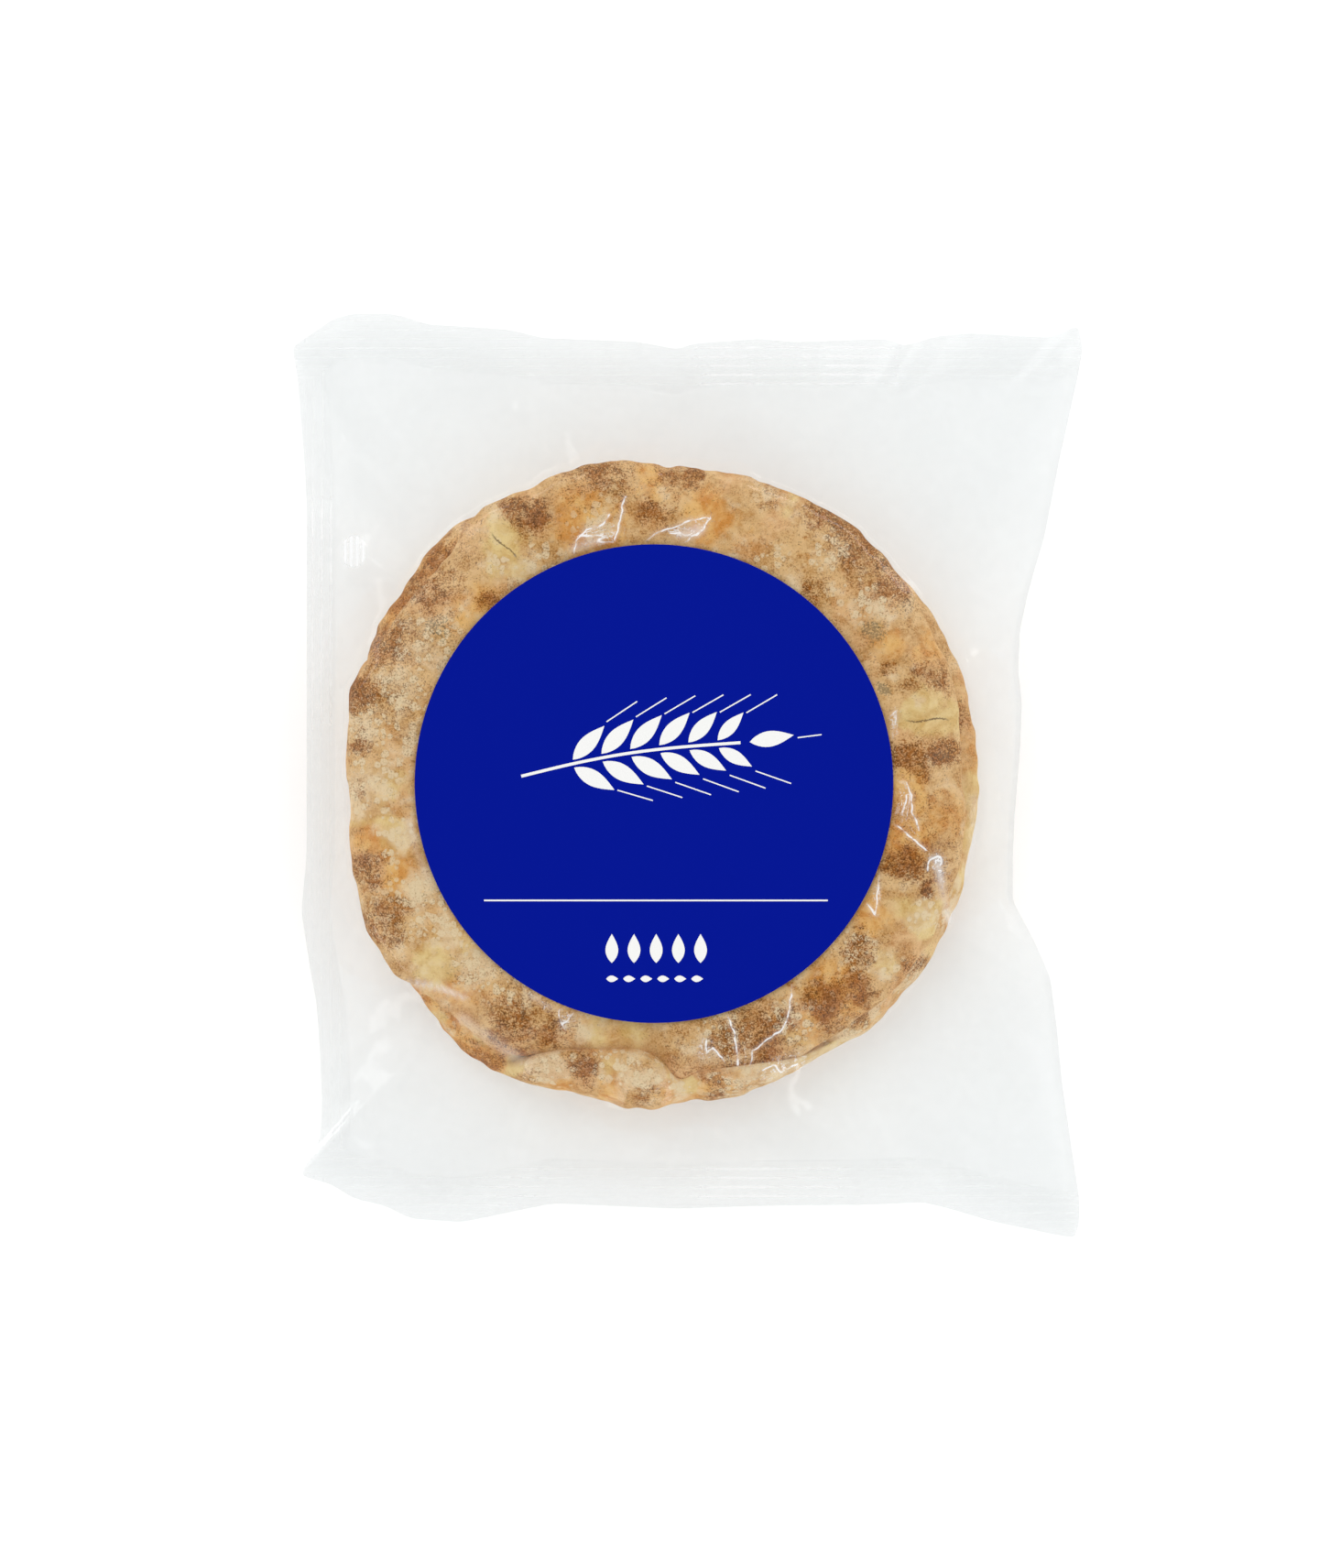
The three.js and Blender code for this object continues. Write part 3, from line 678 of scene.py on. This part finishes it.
def web(is_front):
    """One web of the pouch as x, y, z rings, and what marks it. The front lies over the rounds, the back
    under them; both run free to the seals, where they are one, and to the fold, where they meet. Each
    starts as a straight tent from the bread to the seals, and is then draped."""
    angle = packed_angles(WEB_SIDES)
    reach, x, y, firsts = web_grid(angle, FRONT_RINGS if is_front else BACK_RINGS)
    angle = np.broadcast_to(angle, x.shape)
    way = 1 if is_front else -1
    sealed = np.arange(len(x))[:, None] >= firsts[4]
    level, ribbed_across, ribbed_down = seal_level(x, y, angle)
    rim, seal = reach[firsts[3]], reach[firsts[4]]
    at_seal = level[firsts[4]]
    leaving = reach > rim - LEAVING
    if is_front:
        limit = np.maximum(UPPER.top(x, y) + ABOVE_UPPER, LOWER.top(x, y) + ABOVE_LOWER)
        limit = np.where(leaving, 0, limit)
        start = under_film(x, y)
    else:
        limit = np.where(leaving, 99, LOWER.bottom(x, y) - BELOW_LOWER)
        start = np.full_like(x, 0.1)
    shoulder = 0.9 * rim
    share = np.clip((reach - shoulder) / (seal - shoulder), 0, 1)
    z = start * (1 - share) + at_seal * share
    z = np.maximum(z, limit) if is_front else np.minimum(z, limit)
    fixed = sealed | (reach < HELD)
    z = draped(np.where(sealed, level, z), np.where(sealed, level, limit), fixed, way)
    free = ease(reach, rim - 4, rim + 10) * ease(seal - reach, 0, 9)
    z = z + free * wrinkles(x, y, reach, angle, 401 if is_front else 451)
    if is_front:
        near = ease(np.hypot(x - LABEL_X, y - LABEL_Y), LABEL_RADIUS + 0.4, LABEL_RADIUS + 3)
        z = under_film(x, y) * (1 - near) + near * np.maximum(z, limit)
        over_bread = near * ease(rim - reach, -2, 1)
        across, creased = creases(x, y)
        aside = np.clip(np.abs(across) / CREASE_HALF_WIDTH, 0, 1)
        ridges = CREASE_HEIGHT / 2 * creased * (1 + np.cos(np.pi * aside))
        z = z + over_bread * (ridges + crumple(x, y))
    else:
        z = np.minimum(z, np.where(sealed, z, limit))
    z = np.where(sealed, level + way * WELD_GAP, z)
    lowest = 0.16 if is_front else 0.08  # above the table
    points = np.stack([x, y, np.maximum(z, lowest)], -1)
    marks = {"milky": 0.004 + 0.03 * ease(reach, rim - 2, rim + 3)}
    if is_front:
        marks["ribbed_across"], marks["ribbed_down"] = ribbed_across, ribbed_down
        # Where the painted highlight near the side seal lies
        beyond = np.maximum(np.abs(y - PAINTED_GLINT_Y) - PAINTED_GLINT_STRAIGHT, 0)
        marks["stamped"] = np.clip(PAINTED_GLINT_RADIUS - np.hypot(x - PAINTED_GLINT_X, beyond), -4, 4)
        # Painted sheen along the streaks over the bread
        marks["milky"] = marks["milky"] + over_bread * painted_sheen(x, y)
        marks["crease_across"], marks["creased"] = across, creased * over_bread
        marks["crumpled"] = crumpled(x, y) * over_bread
    return points, marks


def wrinkles(x, y, reach, angle, seed):
    """Loose film between the bread and the seals: folds that run outwards, made by noise that changes
    fast around the packet and slowly outwards, and soft dents with a few sharp ridges."""
    outward = layered_noise(np.degrees(angle) * 1.3, reach / 6, 6.0, seed)
    dents = layered_noise(x, y, 17, seed + 9)
    ridges = 0.5 - np.abs(layered_noise(x, y, 13, seed + 21))
    return 0.4 * outward + 0.5 * dents + 0.35 * ridges


def crumple(x, y):
    """Faint crumpling where the film touches the crust: sharp ridges of noise, a twentieth of a mm high."""
    return 0.16 * np.clip(0.35 - np.abs(layered_noise(x, y, 7, 511)), 0, 1)


# ---------------------------------------------------------------------------------------- label
LABEL_LEVEL = 0.16  # the label's top above the film under it
EAR_X, EAR_Y, EAR_TILT = -45, 0, 9  # the foot of the ear of wheat, and its stem's tilt in degrees
GRAIN_LEAN = 38  # how many degrees a grain leans off the stem
RULE = [(-55.1, -33.6), (37.9, -33.6)]


def label_piece():
    """The sticker: a closed disc that follows the film's swell, a tenth of a mm thick with a rounded
    edge. Its profile runs from the middle of the top, around the edge, to the middle underneath."""
    steps = np.array([0.1, 0.25, 0.4, 0.55, 0.7, 0.82, 0.92, 0.985, 0.998, 1, 1, 0.92, 0.7, 0.4, 0.1])
    drop = np.array([0, 0, 0, 0, 0, 0, 0, 0, 0.02, 0.05, 0.11, 0.11, 0.11, 0.11, 0.11])
    angle = np.linspace(0, 2 * np.pi, 480, endpoint=False)[None]
    reach = steps[:, None] * LABEL_RADIUS
    x, y = LABEL_X + reach * np.cos(angle), LABEL_Y + reach * np.sin(angle)
    z = under_film(x, y) + LABEL_LEVEL - drop[:, None]
    return rings_piece("label_disc", np.stack([x, y, z], -1), top=True)


def ribbon(line, widths, lift=0.05):
    """A printed stroke as a closed plate of rings of four: `line` is its middle in x, y, `widths` its
    full width at each point, and it stands `lift` mm proud of the label."""
    line = np.array(line, float)
    run = np.gradient(line, axis=0)
    side = np.stack([-run[:, 1], run[:, 0]], -1) / np.hypot(*run.T)[:, None]
    left, right = line + side * np.array(widths)[:, None] / 2, line - side * np.array(widths)[:, None] / 2
    corners = np.stack([left, right, right, left], 1)
    z = under_film(corners[..., 0], corners[..., 1]) + LABEL_LEVEL + 0.01
    z[:, :2] += lift
    return np.concatenate([corners, z[..., None]], -1)


def grain(x, y, direction, length, width):
    """A grain of wheat: a stroke as wide as a sine of the way along it, a little fuller near its foot."""
    turn, along = np.radians(direction), np.linspace(0, 1, 13)
    line = np.stack([x + length * along * np.cos(turn), y + length * along * np.sin(turn)], -1)
    return ribbon(line, width * np.sin(np.pi * along**0.85) + 0.06)


def stroke(points, width):
    """A line of even width through x, y points, in steps of about 2 mm."""
    points = np.array(points, float)
    gone = np.concatenate([[0], np.cumsum(np.hypot(*np.diff(points, axis=0).T))])
    steps = np.linspace(0, gone[-1], int(gone[-1] / 2) + 2)
    line = np.stack([np.interp(steps, gone, column) for column in points.T], -1)
    return ribbon(line, np.full(len(line), width))


def label_print():
    """What is printed in white on the label: an ear of wheat, a rule, and two rows of grains."""
    tilt, lean = np.radians(EAR_TILT), np.radians(GRAIN_LEAN)

    def placed(along, across):
        """A point of the ear from its distance along the stem, which bends a little, and across it."""
        across = across + 1.6 * np.sin(along / 18)
        x = EAR_X + along * np.cos(tilt) - across * np.sin(tilt)
        return x, EAR_Y + along * np.sin(tilt) + across * np.cos(tilt)

    shapes = [stroke(RULE, 0.42)]
    shapes.append(stroke([placed(t, 0) for t in range(0, 62, 2)], 0.8))
    for k in range(6):
        foot, size = 14.5 + 7.9 * k, 1 - 0.012 * (k - 1) ** 2
        for way in (1, -1):
            length = 12.6 * size
            shapes.append(grain(*placed(foot, way * 1.1), EAR_TILT + way * GRAIN_LEAN, length, 4.3 * size))
            along, across = foot + length * np.cos(lean) + 0.8, way * (1.7 + length * np.sin(lean))
            shapes.append(stroke([placed(along, across), placed(along + 9, across + way * 4.2)], 0.34))
    shapes.append(grain(*placed(62.5, 0), EAR_TILT, 12.0, 4.2))
    shapes.append(stroke([placed(75.5, 0), placed(82, 0)], 0.34))
    shapes += [grain(-20.5 + 6 * k, -50.5, 90, 7.8, 3.4) for k in range(5)]
    shapes += [grain(-22.0 + 4.6 * k, -54.8, 0, 3.2, 1.7) for k in range(6)]
    return ribbons_piece("label_print", shapes)


def ribbons_piece(name, ribbons):
    """All of a print's strokes as one piece: rings of four joined along each stroke, its ends closed."""
    points, faces = [], []
    first = 0
    for rings in ribbons:
        grid = first + np.arange(len(rings) * 4).reshape(-1, 4)
        a, b = grid[:-1], grid[1:]
        faces.append(np.stack([a, b, np.roll(b, -1, 1), np.roll(a, -1, 1)], -1).reshape(-1, 4))
        faces.append(np.stack([grid[0], grid[-1][::-1]]))
        points.append(rings.reshape(-1, 3))
        first += rings.shape[0] * 4
    faces = np.concatenate(faces)[:, ::-1]
    return mesh_piece(name, np.concatenate(points), faces.ravel(), np.arange(len(faces)) * 4, smooth=False)


# ------------------------------------------------------------------------------------ materials
def linear(hex_colour):
    """An sRGB hex colour as linear red, green, blue and full alpha."""
    channels = [int(hex_colour[i : i + 2], 16) / 255 for i in (1, 3, 5)]
    return [c / 12.92 if c <= 0.04045 else ((c + 0.055) / 1.055) ** 2.4 for c in channels] + [1.0]


def node(tree, kind, inputs=(), **settings):
    """Adds one node with its settings and links, and returns its outputs. Inputs are a dict by name or
    number, or a list of the first ones; each is a value, an sRGB hex colour or an output to link."""
    made = tree.nodes.new("ShaderNode" + kind)
    for key, value in settings.items():
        setattr(made, key, value)
    for key, value in inputs.items() if isinstance(inputs, dict) else enumerate(inputs):
        if isinstance(value, bpy.types.NodeSocket):
            tree.links.new(value, made.inputs[key])
        else:
            made.inputs[key].default_value = linear(value) if isinstance(value, str) else value
    return made.outputs


def new_material(name):
    """A material with no nodes yet, and the function that adds them to it."""
    material = bpy.data.materials.new(name)
    material.use_nodes = True
    material.node_tree.nodes.clear()
    return material, partial(node, material.node_tree)


def per_mm(size):
    """A texture's Scale for a pattern `size` mm wide, as coordinates are in metres."""
    return 1000 / size


def patterns(add, place, marks, noises):
    """A material's values by name: each mark from the mesh's points, and each noise from its size in mm,
    detail, roughness and distortion."""
    values = {mark: add("Attribute", attribute_name=mark)["Fac"] for mark in marks}
    for name, (size, detail, roughness, distortion) in noises.items():
        looks = {"Vector": place, "Scale": per_mm(size), "Detail": detail}
        looks |= {"Roughness": roughness, "Distortion": distortion}
        values[name] = add("TexNoise", looks)["Fac"]
    return values


def work_out(add, values, steps):
    """Does a material's arithmetic. Each step names its result, its operation and its terms, which are
    values by name or numbers. RAMP takes a value smoothly from 0 to 1, or between two given levels,
    while it goes from the first number to the second."""
    for name, operation, *terms in steps:
        terms = [values.get(term, term) for term in terms]
        if operation == "RAMP":
            values[name] = add("MapRange", terms, interpolation_type="SMOOTHSTEP")[0]
        else:
            values[name] = add("Math", terms, operation=operation)[0]


def baked_crust():
    """Oven-baked wheat crust, dusted with semolina: matt and dry, so a rough surface with a weak gloss.
    Its tan is peppered with toasted specks; it is golden where smooth, cream under flour and pale
    where a fold kept the heat off."""
    material, add = new_material("baked_crust")
    place = add("TexCoord")["Object"]
    marks = ["toasted", "golden", "pale", "floured", "soot", "cracked", "crack_across"]
    # Grit and fine grain are really about 0.3 mm across; they are drawn at 0.5 mm so that they show
    noises = {
        "grit": (0.5, 3, 0.8, 0),
        "fine": (0.5, 2, 0.6, 0),
        "blotch": (5.5, 5, 0.65, 0.5),
        "frayed": (3.2, 5, 0.65, 0),
        "slow": (13, 3, 0.5, 0),
        "dusting": (8, 4, 0.6, 0),
        "patch": (6, 3, 0.6, 0),
        "pepper": (1.1, 2, 0.6, 0),
    }
    values = patterns(add, place, marks, noises)
    crumbs = add("TexVoronoi", {"Vector": place, "Scale": per_mm(1.9)}, feature="F1")
    values["crumb_size"] = add("SeparateColor", {"Color": crumbs["Color"]})["Red"]
    values["from_crumb"] = crumbs["Distance"]
    steps = [
        # Pale and golden marks together, which spare the crust its specks, and each mark with its edge
        # frayed
        ("spared", "ADD", "pale", "golden"),
        ("ragged", "MULTIPLY_ADD", "frayed", 1.6, -0.8),
        ("toasted", "ADD", "toasted", "ragged"),
        ("golden", "ADD", "golden", "ragged"),
        ("pale", "ADD", "pale", "ragged"),
        # How much shows of each even tone
        ("tone", "RAMP", "blotch", 0.35, 0.66),
        ("warmed", "RAMP", "slow", 0.48, 0.62, 0, 0.6),
        ("gilded", "RAMP", "golden", 0.25, 0.95, 0, 0.88),
        ("sheltered", "RAMP", "pale", 0.3, 1, 0, 0.85),
        ("creamy", "MULTIPLY_ADD", "floured", 0.2, "dusting"),
        ("creamy", "RAMP", "creamy", 0.57, 0.76, 0, 0.72),
        ("patch", "RAMP", "patch", 0.4, 0.6),
        ("browned", "RAMP", "toasted", 0.3, 1.2, 0, 0.72),
        # Sandy grit, least of it where the crust is baked most
        ("baked", "MULTIPLY_ADD", "toasted", 0.6, "golden"),
        ("baked", "RAMP", "baked", 0.9, 0.3, 0.12, 0.42),
        ("sandy", "RAMP", "grit", 0.47, 0.38),
        ("sandy", "MULTIPLY", "sandy", "baked"),
        # Semolina crumbs of mixed sizes, most of them where the crust is floured
        ("crumb_size", "MULTIPLY_ADD", "ragged", 0.5, "crumb_size"),
        ("crumb_size", "MULTIPLY_ADD", "crumb_size", 0.85, -0.085),
        ("crumb", "SUBTRACT", "crumb_size", "from_crumb"),
        ("crumb", "RAMP", "crumb", -0.04, 0.07),
        ("dusted", "RAMP", "floured", 0.15, 0.75, 0.06, 0.85),
        ("dusted", "MULTIPLY", "crumb", "dusted"),
        # Toasted specks, more and stronger where the crust is toasted
        ("specks", "RAMP", "toasted", 0, 1, 0, 0.12),
        ("specks", "MULTIPLY_ADD", "blotch", 0.2, "specks"),
        ("specks", "MULTIPLY_ADD", "spared", -0.055, "specks"),
        ("specks", "ADD", "specks", "grit"),
        ("specks", "RAMP", "specks", 0.645, 0.705),
        ("strength", "RAMP", "toasted", 0, 0.9, 0.45, 0.9),
        ("specks", "MULTIPLY", "specks", "strength"),
        ("pepper", "RAMP", "pepper", 0.4, 0.6),
        # Charred grit, and sooty smudges
        ("charred", "ADD", "grit", 0.35),
        ("charred", "MULTIPLY", "toasted", "charred"),
        ("charred", "RAMP", "charred", 0.9, 1.3, 0, 0.45),
        ("sooty", "MULTIPLY_ADD", "soot", 0.34, "fine"),
        ("sooty", "RAMP", "sooty", 0.72, 0.92, 0, 0.55),
        # Cracks, whose middles waver by half a millimetre
        ("waver", "MULTIPLY_ADD", "fine", 1.3, -0.65),
        ("crack", "ADD", "crack_across", "waver"),
        ("crack", "ABSOLUTE", "crack"),
        ("crack", "RAMP", "crack", 0.34, 0.1, 0, 0.8),
        ("crack", "MULTIPLY", "crack", "cracked"),
        # Relief, and the roughness of the gloss
        ("relief", "MULTIPLY", "grit", 0.6),
        ("relief", "MULTIPLY_ADD", "blotch", 0.9, "relief"),
        ("relief", "MULTIPLY_ADD", "dusted", 0.5, "relief"),
        ("rough", "RAMP", "fine", 0.2, 0.8, 0.72, 0.92),
    ]
    work_out(add, values, steps)

    # Each layer over the ones before: how much of it shows, the value that shades it, and its colours
    # where that value is 0 and where it is 1
    toast = add("Mix", {0: values["tone"], 6: "#c67d1c", 7: "#a1570a"}, data_type="RGBA")[2]
    layers = [
        ("warmed", "tone", "#e9b680", "#cc8d50"),
        ("gilded", "tone", "#f0bf74", "#d98f3c"),
        ("sheltered", "tone", "#efd596", "#dbb36b"),
        ("creamy", "tone", "#f3deba", "#e4c297"),
        ("browned", "patch", toast, "#a25214"),
        ("sandy", "tone", "#f0cf95", "#f0cf95"),
        ("dusted", "fine", "#f4e1bd", "#e6c799"),
        ("specks", "pepper", "#9c5b12", "#633804"),
        ("charred", "tone", "#6d3a0c", "#46300f"),
        ("sooty", "tone", "#6a664e", "#6a664e"),
        ("crack", "tone", "#6b5230", "#6b5230"),
    ]
    base = add("Mix", {0: values["tone"], 6: "#e8c08a", 7: "#cb985a"}, data_type="RGBA")[2]
    for shown, shade, light, dark in layers:
        colour = add("Mix", {0: values[shade], 6: light, 7: dark}, data_type="RGBA")[2]
        base = add("Mix", {0: values[shown], 6: base, 7: colour}, data_type="RGBA")[2]
    bump = add("Bump", {"Strength": 0.75, "Distance": 0.35 * MM, "Height": values["relief"]})
    looks = {"Base Color": base, "Roughness": values["rough"], "Normal": bump["Normal"]}
    looks |= {"IOR": 1.45, "Specular IOR Level": 0.15}
    add("OutputMaterial", {"Surface": add("BsdfPrincipled", looks)[0]})
    return material


def clear_film():
    """Oriented polypropylene packing film, about 0.04 mm thick: clear with a trace of grey, glossy on
    both faces. Light passes straight through it, so it is a pane that mirrors by Fresnel, and the
    faint haze of its surface is a little plain white."""
    material, add = new_material("polypropylene_film")
    place = add("TexCoord")["Object"]
    marks = ["milky", "crease_across", "creased", "crumpled", "ribbed_across", "ribbed_down", "stamped"]
    noises = {
        "crinkle": (5, 3, 0.5, 0),
        "cloud": (14, 4, 0.5, 0),
        "broken": (2.2, 2, 0.5, 0),
        "threads": (1.5, 3, 0.5, 1.6),
        # How patchy the painted highlights on the seal ribs are
        "pressed": (15, 2, 0.5, 0),
    }
    values = patterns(add, place, marks, noises)
    axes = add("SeparateXYZ", {"Vector": place})
    bump = add("Bump", {"Strength": 0.5, "Distance": 0.12 * MM, "Height": values["crinkle"]})
    tilt = add("LayerWeight", {"Blend": 0.5, "Normal": bump["Normal"]})
    values |= {"x": axes["X"], "y": axes["Y"], "tilt": tilt["Facing"]}
    steps = [
        # The share mirrored: 3% facing the eye, and all of it at a grazing angle
        ("mirror", "POWER", "tilt", 5),
        ("mirror", "MULTIPLY_ADD", "mirror", 0.97, 0.03),
        # Cloudy haze
        ("cloud", "RAMP", "cloud", 0.35, 0.7, 0.6, 1.9),
        ("milky", "MULTIPLY", "milky", "cloud"),
        # Creases: painted highlights, thin bright lines with a faint painted glow beside them, broken here
        # and there
        ("gap", "ABSOLUTE", "crease_across"),
        ("lines", "RAMP", "gap", 0.34, 0.1, 0, 0.75),
        ("glow", "RAMP", "gap", 1.3, 0.2, 0, 0.1),
        ("lines", "ADD", "lines", "glow"),
        ("broken", "RAMP", "broken", 0.34, 0.56, 0.25, 1),
        ("lines", "MULTIPLY", "lines", "broken"),
        ("lines", "MULTIPLY", "lines", "creased"),
        # Painted glints: white threads in the small patches over the bread
        ("threads", "RAMP", "threads", 0.55, 0.64, 0.06, 0.62),
        ("threads", "MULTIPLY", "threads", "crumpled"),
        # Painted highlights on the crowns of the seal ribs, patchier in some places than others
        ("pressed", "RAMP", "pressed", 0.35, 0.6, 0.25, 0.95),
    ]
    for axis, ribbed in (("y", "ribbed_across"), ("x", "ribbed_down")):
        steps += [
            ("ribs", "MULTIPLY", axis, 2 * np.pi * per_mm(RIB_PITCH)),
            ("ribs", "COSINE", "ribs"),
            ("ribs", "RAMP", "ribs", 0.45, 0.97),
            ("ribs", "MULTIPLY", "ribs", "pressed"),
            ("ribs", "MULTIPLY", "ribs", ribbed),
            ("milky", "ADD", "milky", "ribs"),
        ]
    steps += [
        # The bars of the painted highlight near the side seal
        ("bars", "MULTIPLY", "x", 2 * np.pi * per_mm(PAINTED_GLINT_BAR_PITCH)),
        ("bars", "COSINE", "bars"),
        ("bars", "RAMP", "bars", -0.6, 0.9, 0.2, 0.75),
        ("stamped", "RAMP", "stamped", 0.05, 0.5),
        ("bars", "MULTIPLY", "bars", "stamped"),
        ("milky", "ADD", "milky", "bars"),
        ("sharp", "MAXIMUM", "lines", "threads"),
        ("milky", "ADD", "milky", "sharp"),
        ("milky", "MINIMUM", "milky", 0.9),
    ]
    work_out(add, values, steps)

    # The haze also carries the painted highlights, all as plain white: the crease lines, the glint threads,
    # the rib crowns, the barred patch by the side seal and the sheen streaks
    clear = add("BsdfTransparent", {"Color": "#f9fafa"})[0]
    gloss = add("BsdfAnisotropic", {"Color": "#ffffff", "Roughness": 0.09, "Normal": bump["Normal"]})[0]
    haze = add("BsdfDiffuse", {"Color": "#fcfdfd"})[0]
    hazy = add("MixShader", [values["milky"], clear, haze])[0]
    pane = add("MixShader", [values["mirror"], hazy, gloss])[0]
    add("OutputMaterial", {"Surface": pane})
    return material


def label_stock():
    """Coated sticker paper printed solid blue: smooth and nearly matt."""
    material, add = new_material("blue_label_stock")
    looks = {"Base Color": "#001493", "Roughness": 0.6, "IOR": 1.45, "Specular IOR Level": 0.05}
    add("OutputMaterial", {"Surface": add("BsdfPrincipled", looks)[0]})
    return material


def white_ink():
    """Opaque white screen ink: flat and chalky."""
    material, add = new_material("white_ink")
    looks = {"Base Color": "#f6f6f4", "Roughness": 0.7, "IOR": 1.45, "Specular IOR Level": 0.1}
    add("OutputMaterial", {"Surface": add("BsdfPrincipled", looks)[0]})
    return material


# ------------------------------------------------------------------------------------ the packet
crust = baked_crust()
film = clear_film()

for bread in (LOWER, UPPER):
    piece = bread_piece(bread)
    piece.data.materials.append(crust)
    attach(piece, "root")
    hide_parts(bread.name)
    piece.name = bread.name + "_crust"

front = rings_piece("film_front_web", *web(is_front=True))
back = rings_piece("film_back_web", *web(is_front=False), flip=True)
for piece in (front, back):
    piece.data.materials.append(film)
    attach(piece, "root")
    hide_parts("film_pouch")

label, printed = label_piece(), label_print()
label.data.materials.append(label_stock())
printed.data.materials.append(white_ink())
for piece in (label, printed):
    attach(piece, "root")
    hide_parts("round_label")


# ------------------------------------------------------------------------- floor, light and camera
def floor_piece():
    """A plain white light table, 3 m across, that glows a little."""
    mesh = bpy.data.meshes.new("table_top")
    corners = [(-1.5, -1.5, 0), (1.5, -1.5, 0), (1.5, 1.5, 0), (-1.5, 1.5, 0)]
    mesh.from_pydata(corners, [], [(0, 1, 2, 3)])
    floor = bpy.data.objects.new("table_top", mesh)
    bpy.context.scene.collection.objects.link(floor)
    material, add = new_material("white_table")
    looks = {"Base Color": (0.8, 0.8, 0.8, 1), "Roughness": 0.9, "Specular IOR Level": 0.1}
    looks |= {"Emission Color": (1, 1, 1, 1), "Emission Strength": 0.32}
    add("OutputMaterial", {"Surface": add("BsdfPrincipled", looks)[0]})
    mesh.materials.append(material)


def studio_light():
    """A white studio: an even dome that is dark straight overhead, a broad soft panel high on the left,
    and four long panels low at the corners, which draw thin bright lines on the film's creases."""
    world = bpy.data.worlds.new("studio")
    bpy.context.scene.world = world
    world.use_nodes = True
    world.node_tree.nodes.clear()
    add = partial(node, world.node_tree)
    upward = add("SeparateXYZ", {"Vector": add("TexCoord")["Generated"]})["Z"]
    dome = add("MapRange", [upward, 0.84, 0.95, 0.92, 0.16])[0]
    light = add("Background", {"Color": (1, 1, 1, 1), "Strength": dome})
    add("OutputWorld", {"Surface": light[0]})
    # Azimuth, elevation, width, height and brightness of each panel
    panels = [(120, 55, 1.2, 1.2, 1.8)]
    panels += [(azimuth, 24, 2.0, 0.35, 3) for azimuth in (45, 315)]
    panels += [(azimuth, 24, 2.0, 0.35, 1.8) for azimuth in (135, 225)]
    for azimuth, elevation, width, height, radiance in panels:
        data = bpy.data.lights.new("panel", "AREA")
        data.shape, data.size, data.size_y = "RECTANGLE", width, height
        data.energy = radiance * np.pi * width * height
        panel = bpy.data.objects.new("panel", data)
        turn, climb = np.radians(azimuth), np.radians(elevation)
        toward = (np.cos(turn) * np.cos(climb), np.sin(turn) * np.cos(climb), np.sin(climb))
        panel.location = [2.4 * c for c in toward]
        panel.rotation_euler = (np.pi / 2 - climb, 0, turn + np.pi / 2)
        panel.visible_camera = False
        panel.visible_glossy = width > 1.5
        bpy.context.scene.collection.objects.link(panel)


def camera():
    """A long lens straight above the packet, 1.6 m up, that takes in 360 by 428 mm at its mid height."""
    data = bpy.data.cameras.new("camera")
    above = bpy.data.objects.new("camera", data)
    above.location = (-7.6 * MM, -2.1 * MM, 1.6)
    data.sensor_width = 36
    middle_of_packet, seen = 0.012, 0.428
    data.lens = data.sensor_width * (above.location.z - middle_of_packet) / seen
    bpy.context.scene.collection.objects.link(above)
    bpy.context.scene.camera = above


floor_piece()
studio_light()
camera()
bpy.context.scene.view_settings.view_transform = "Standard"
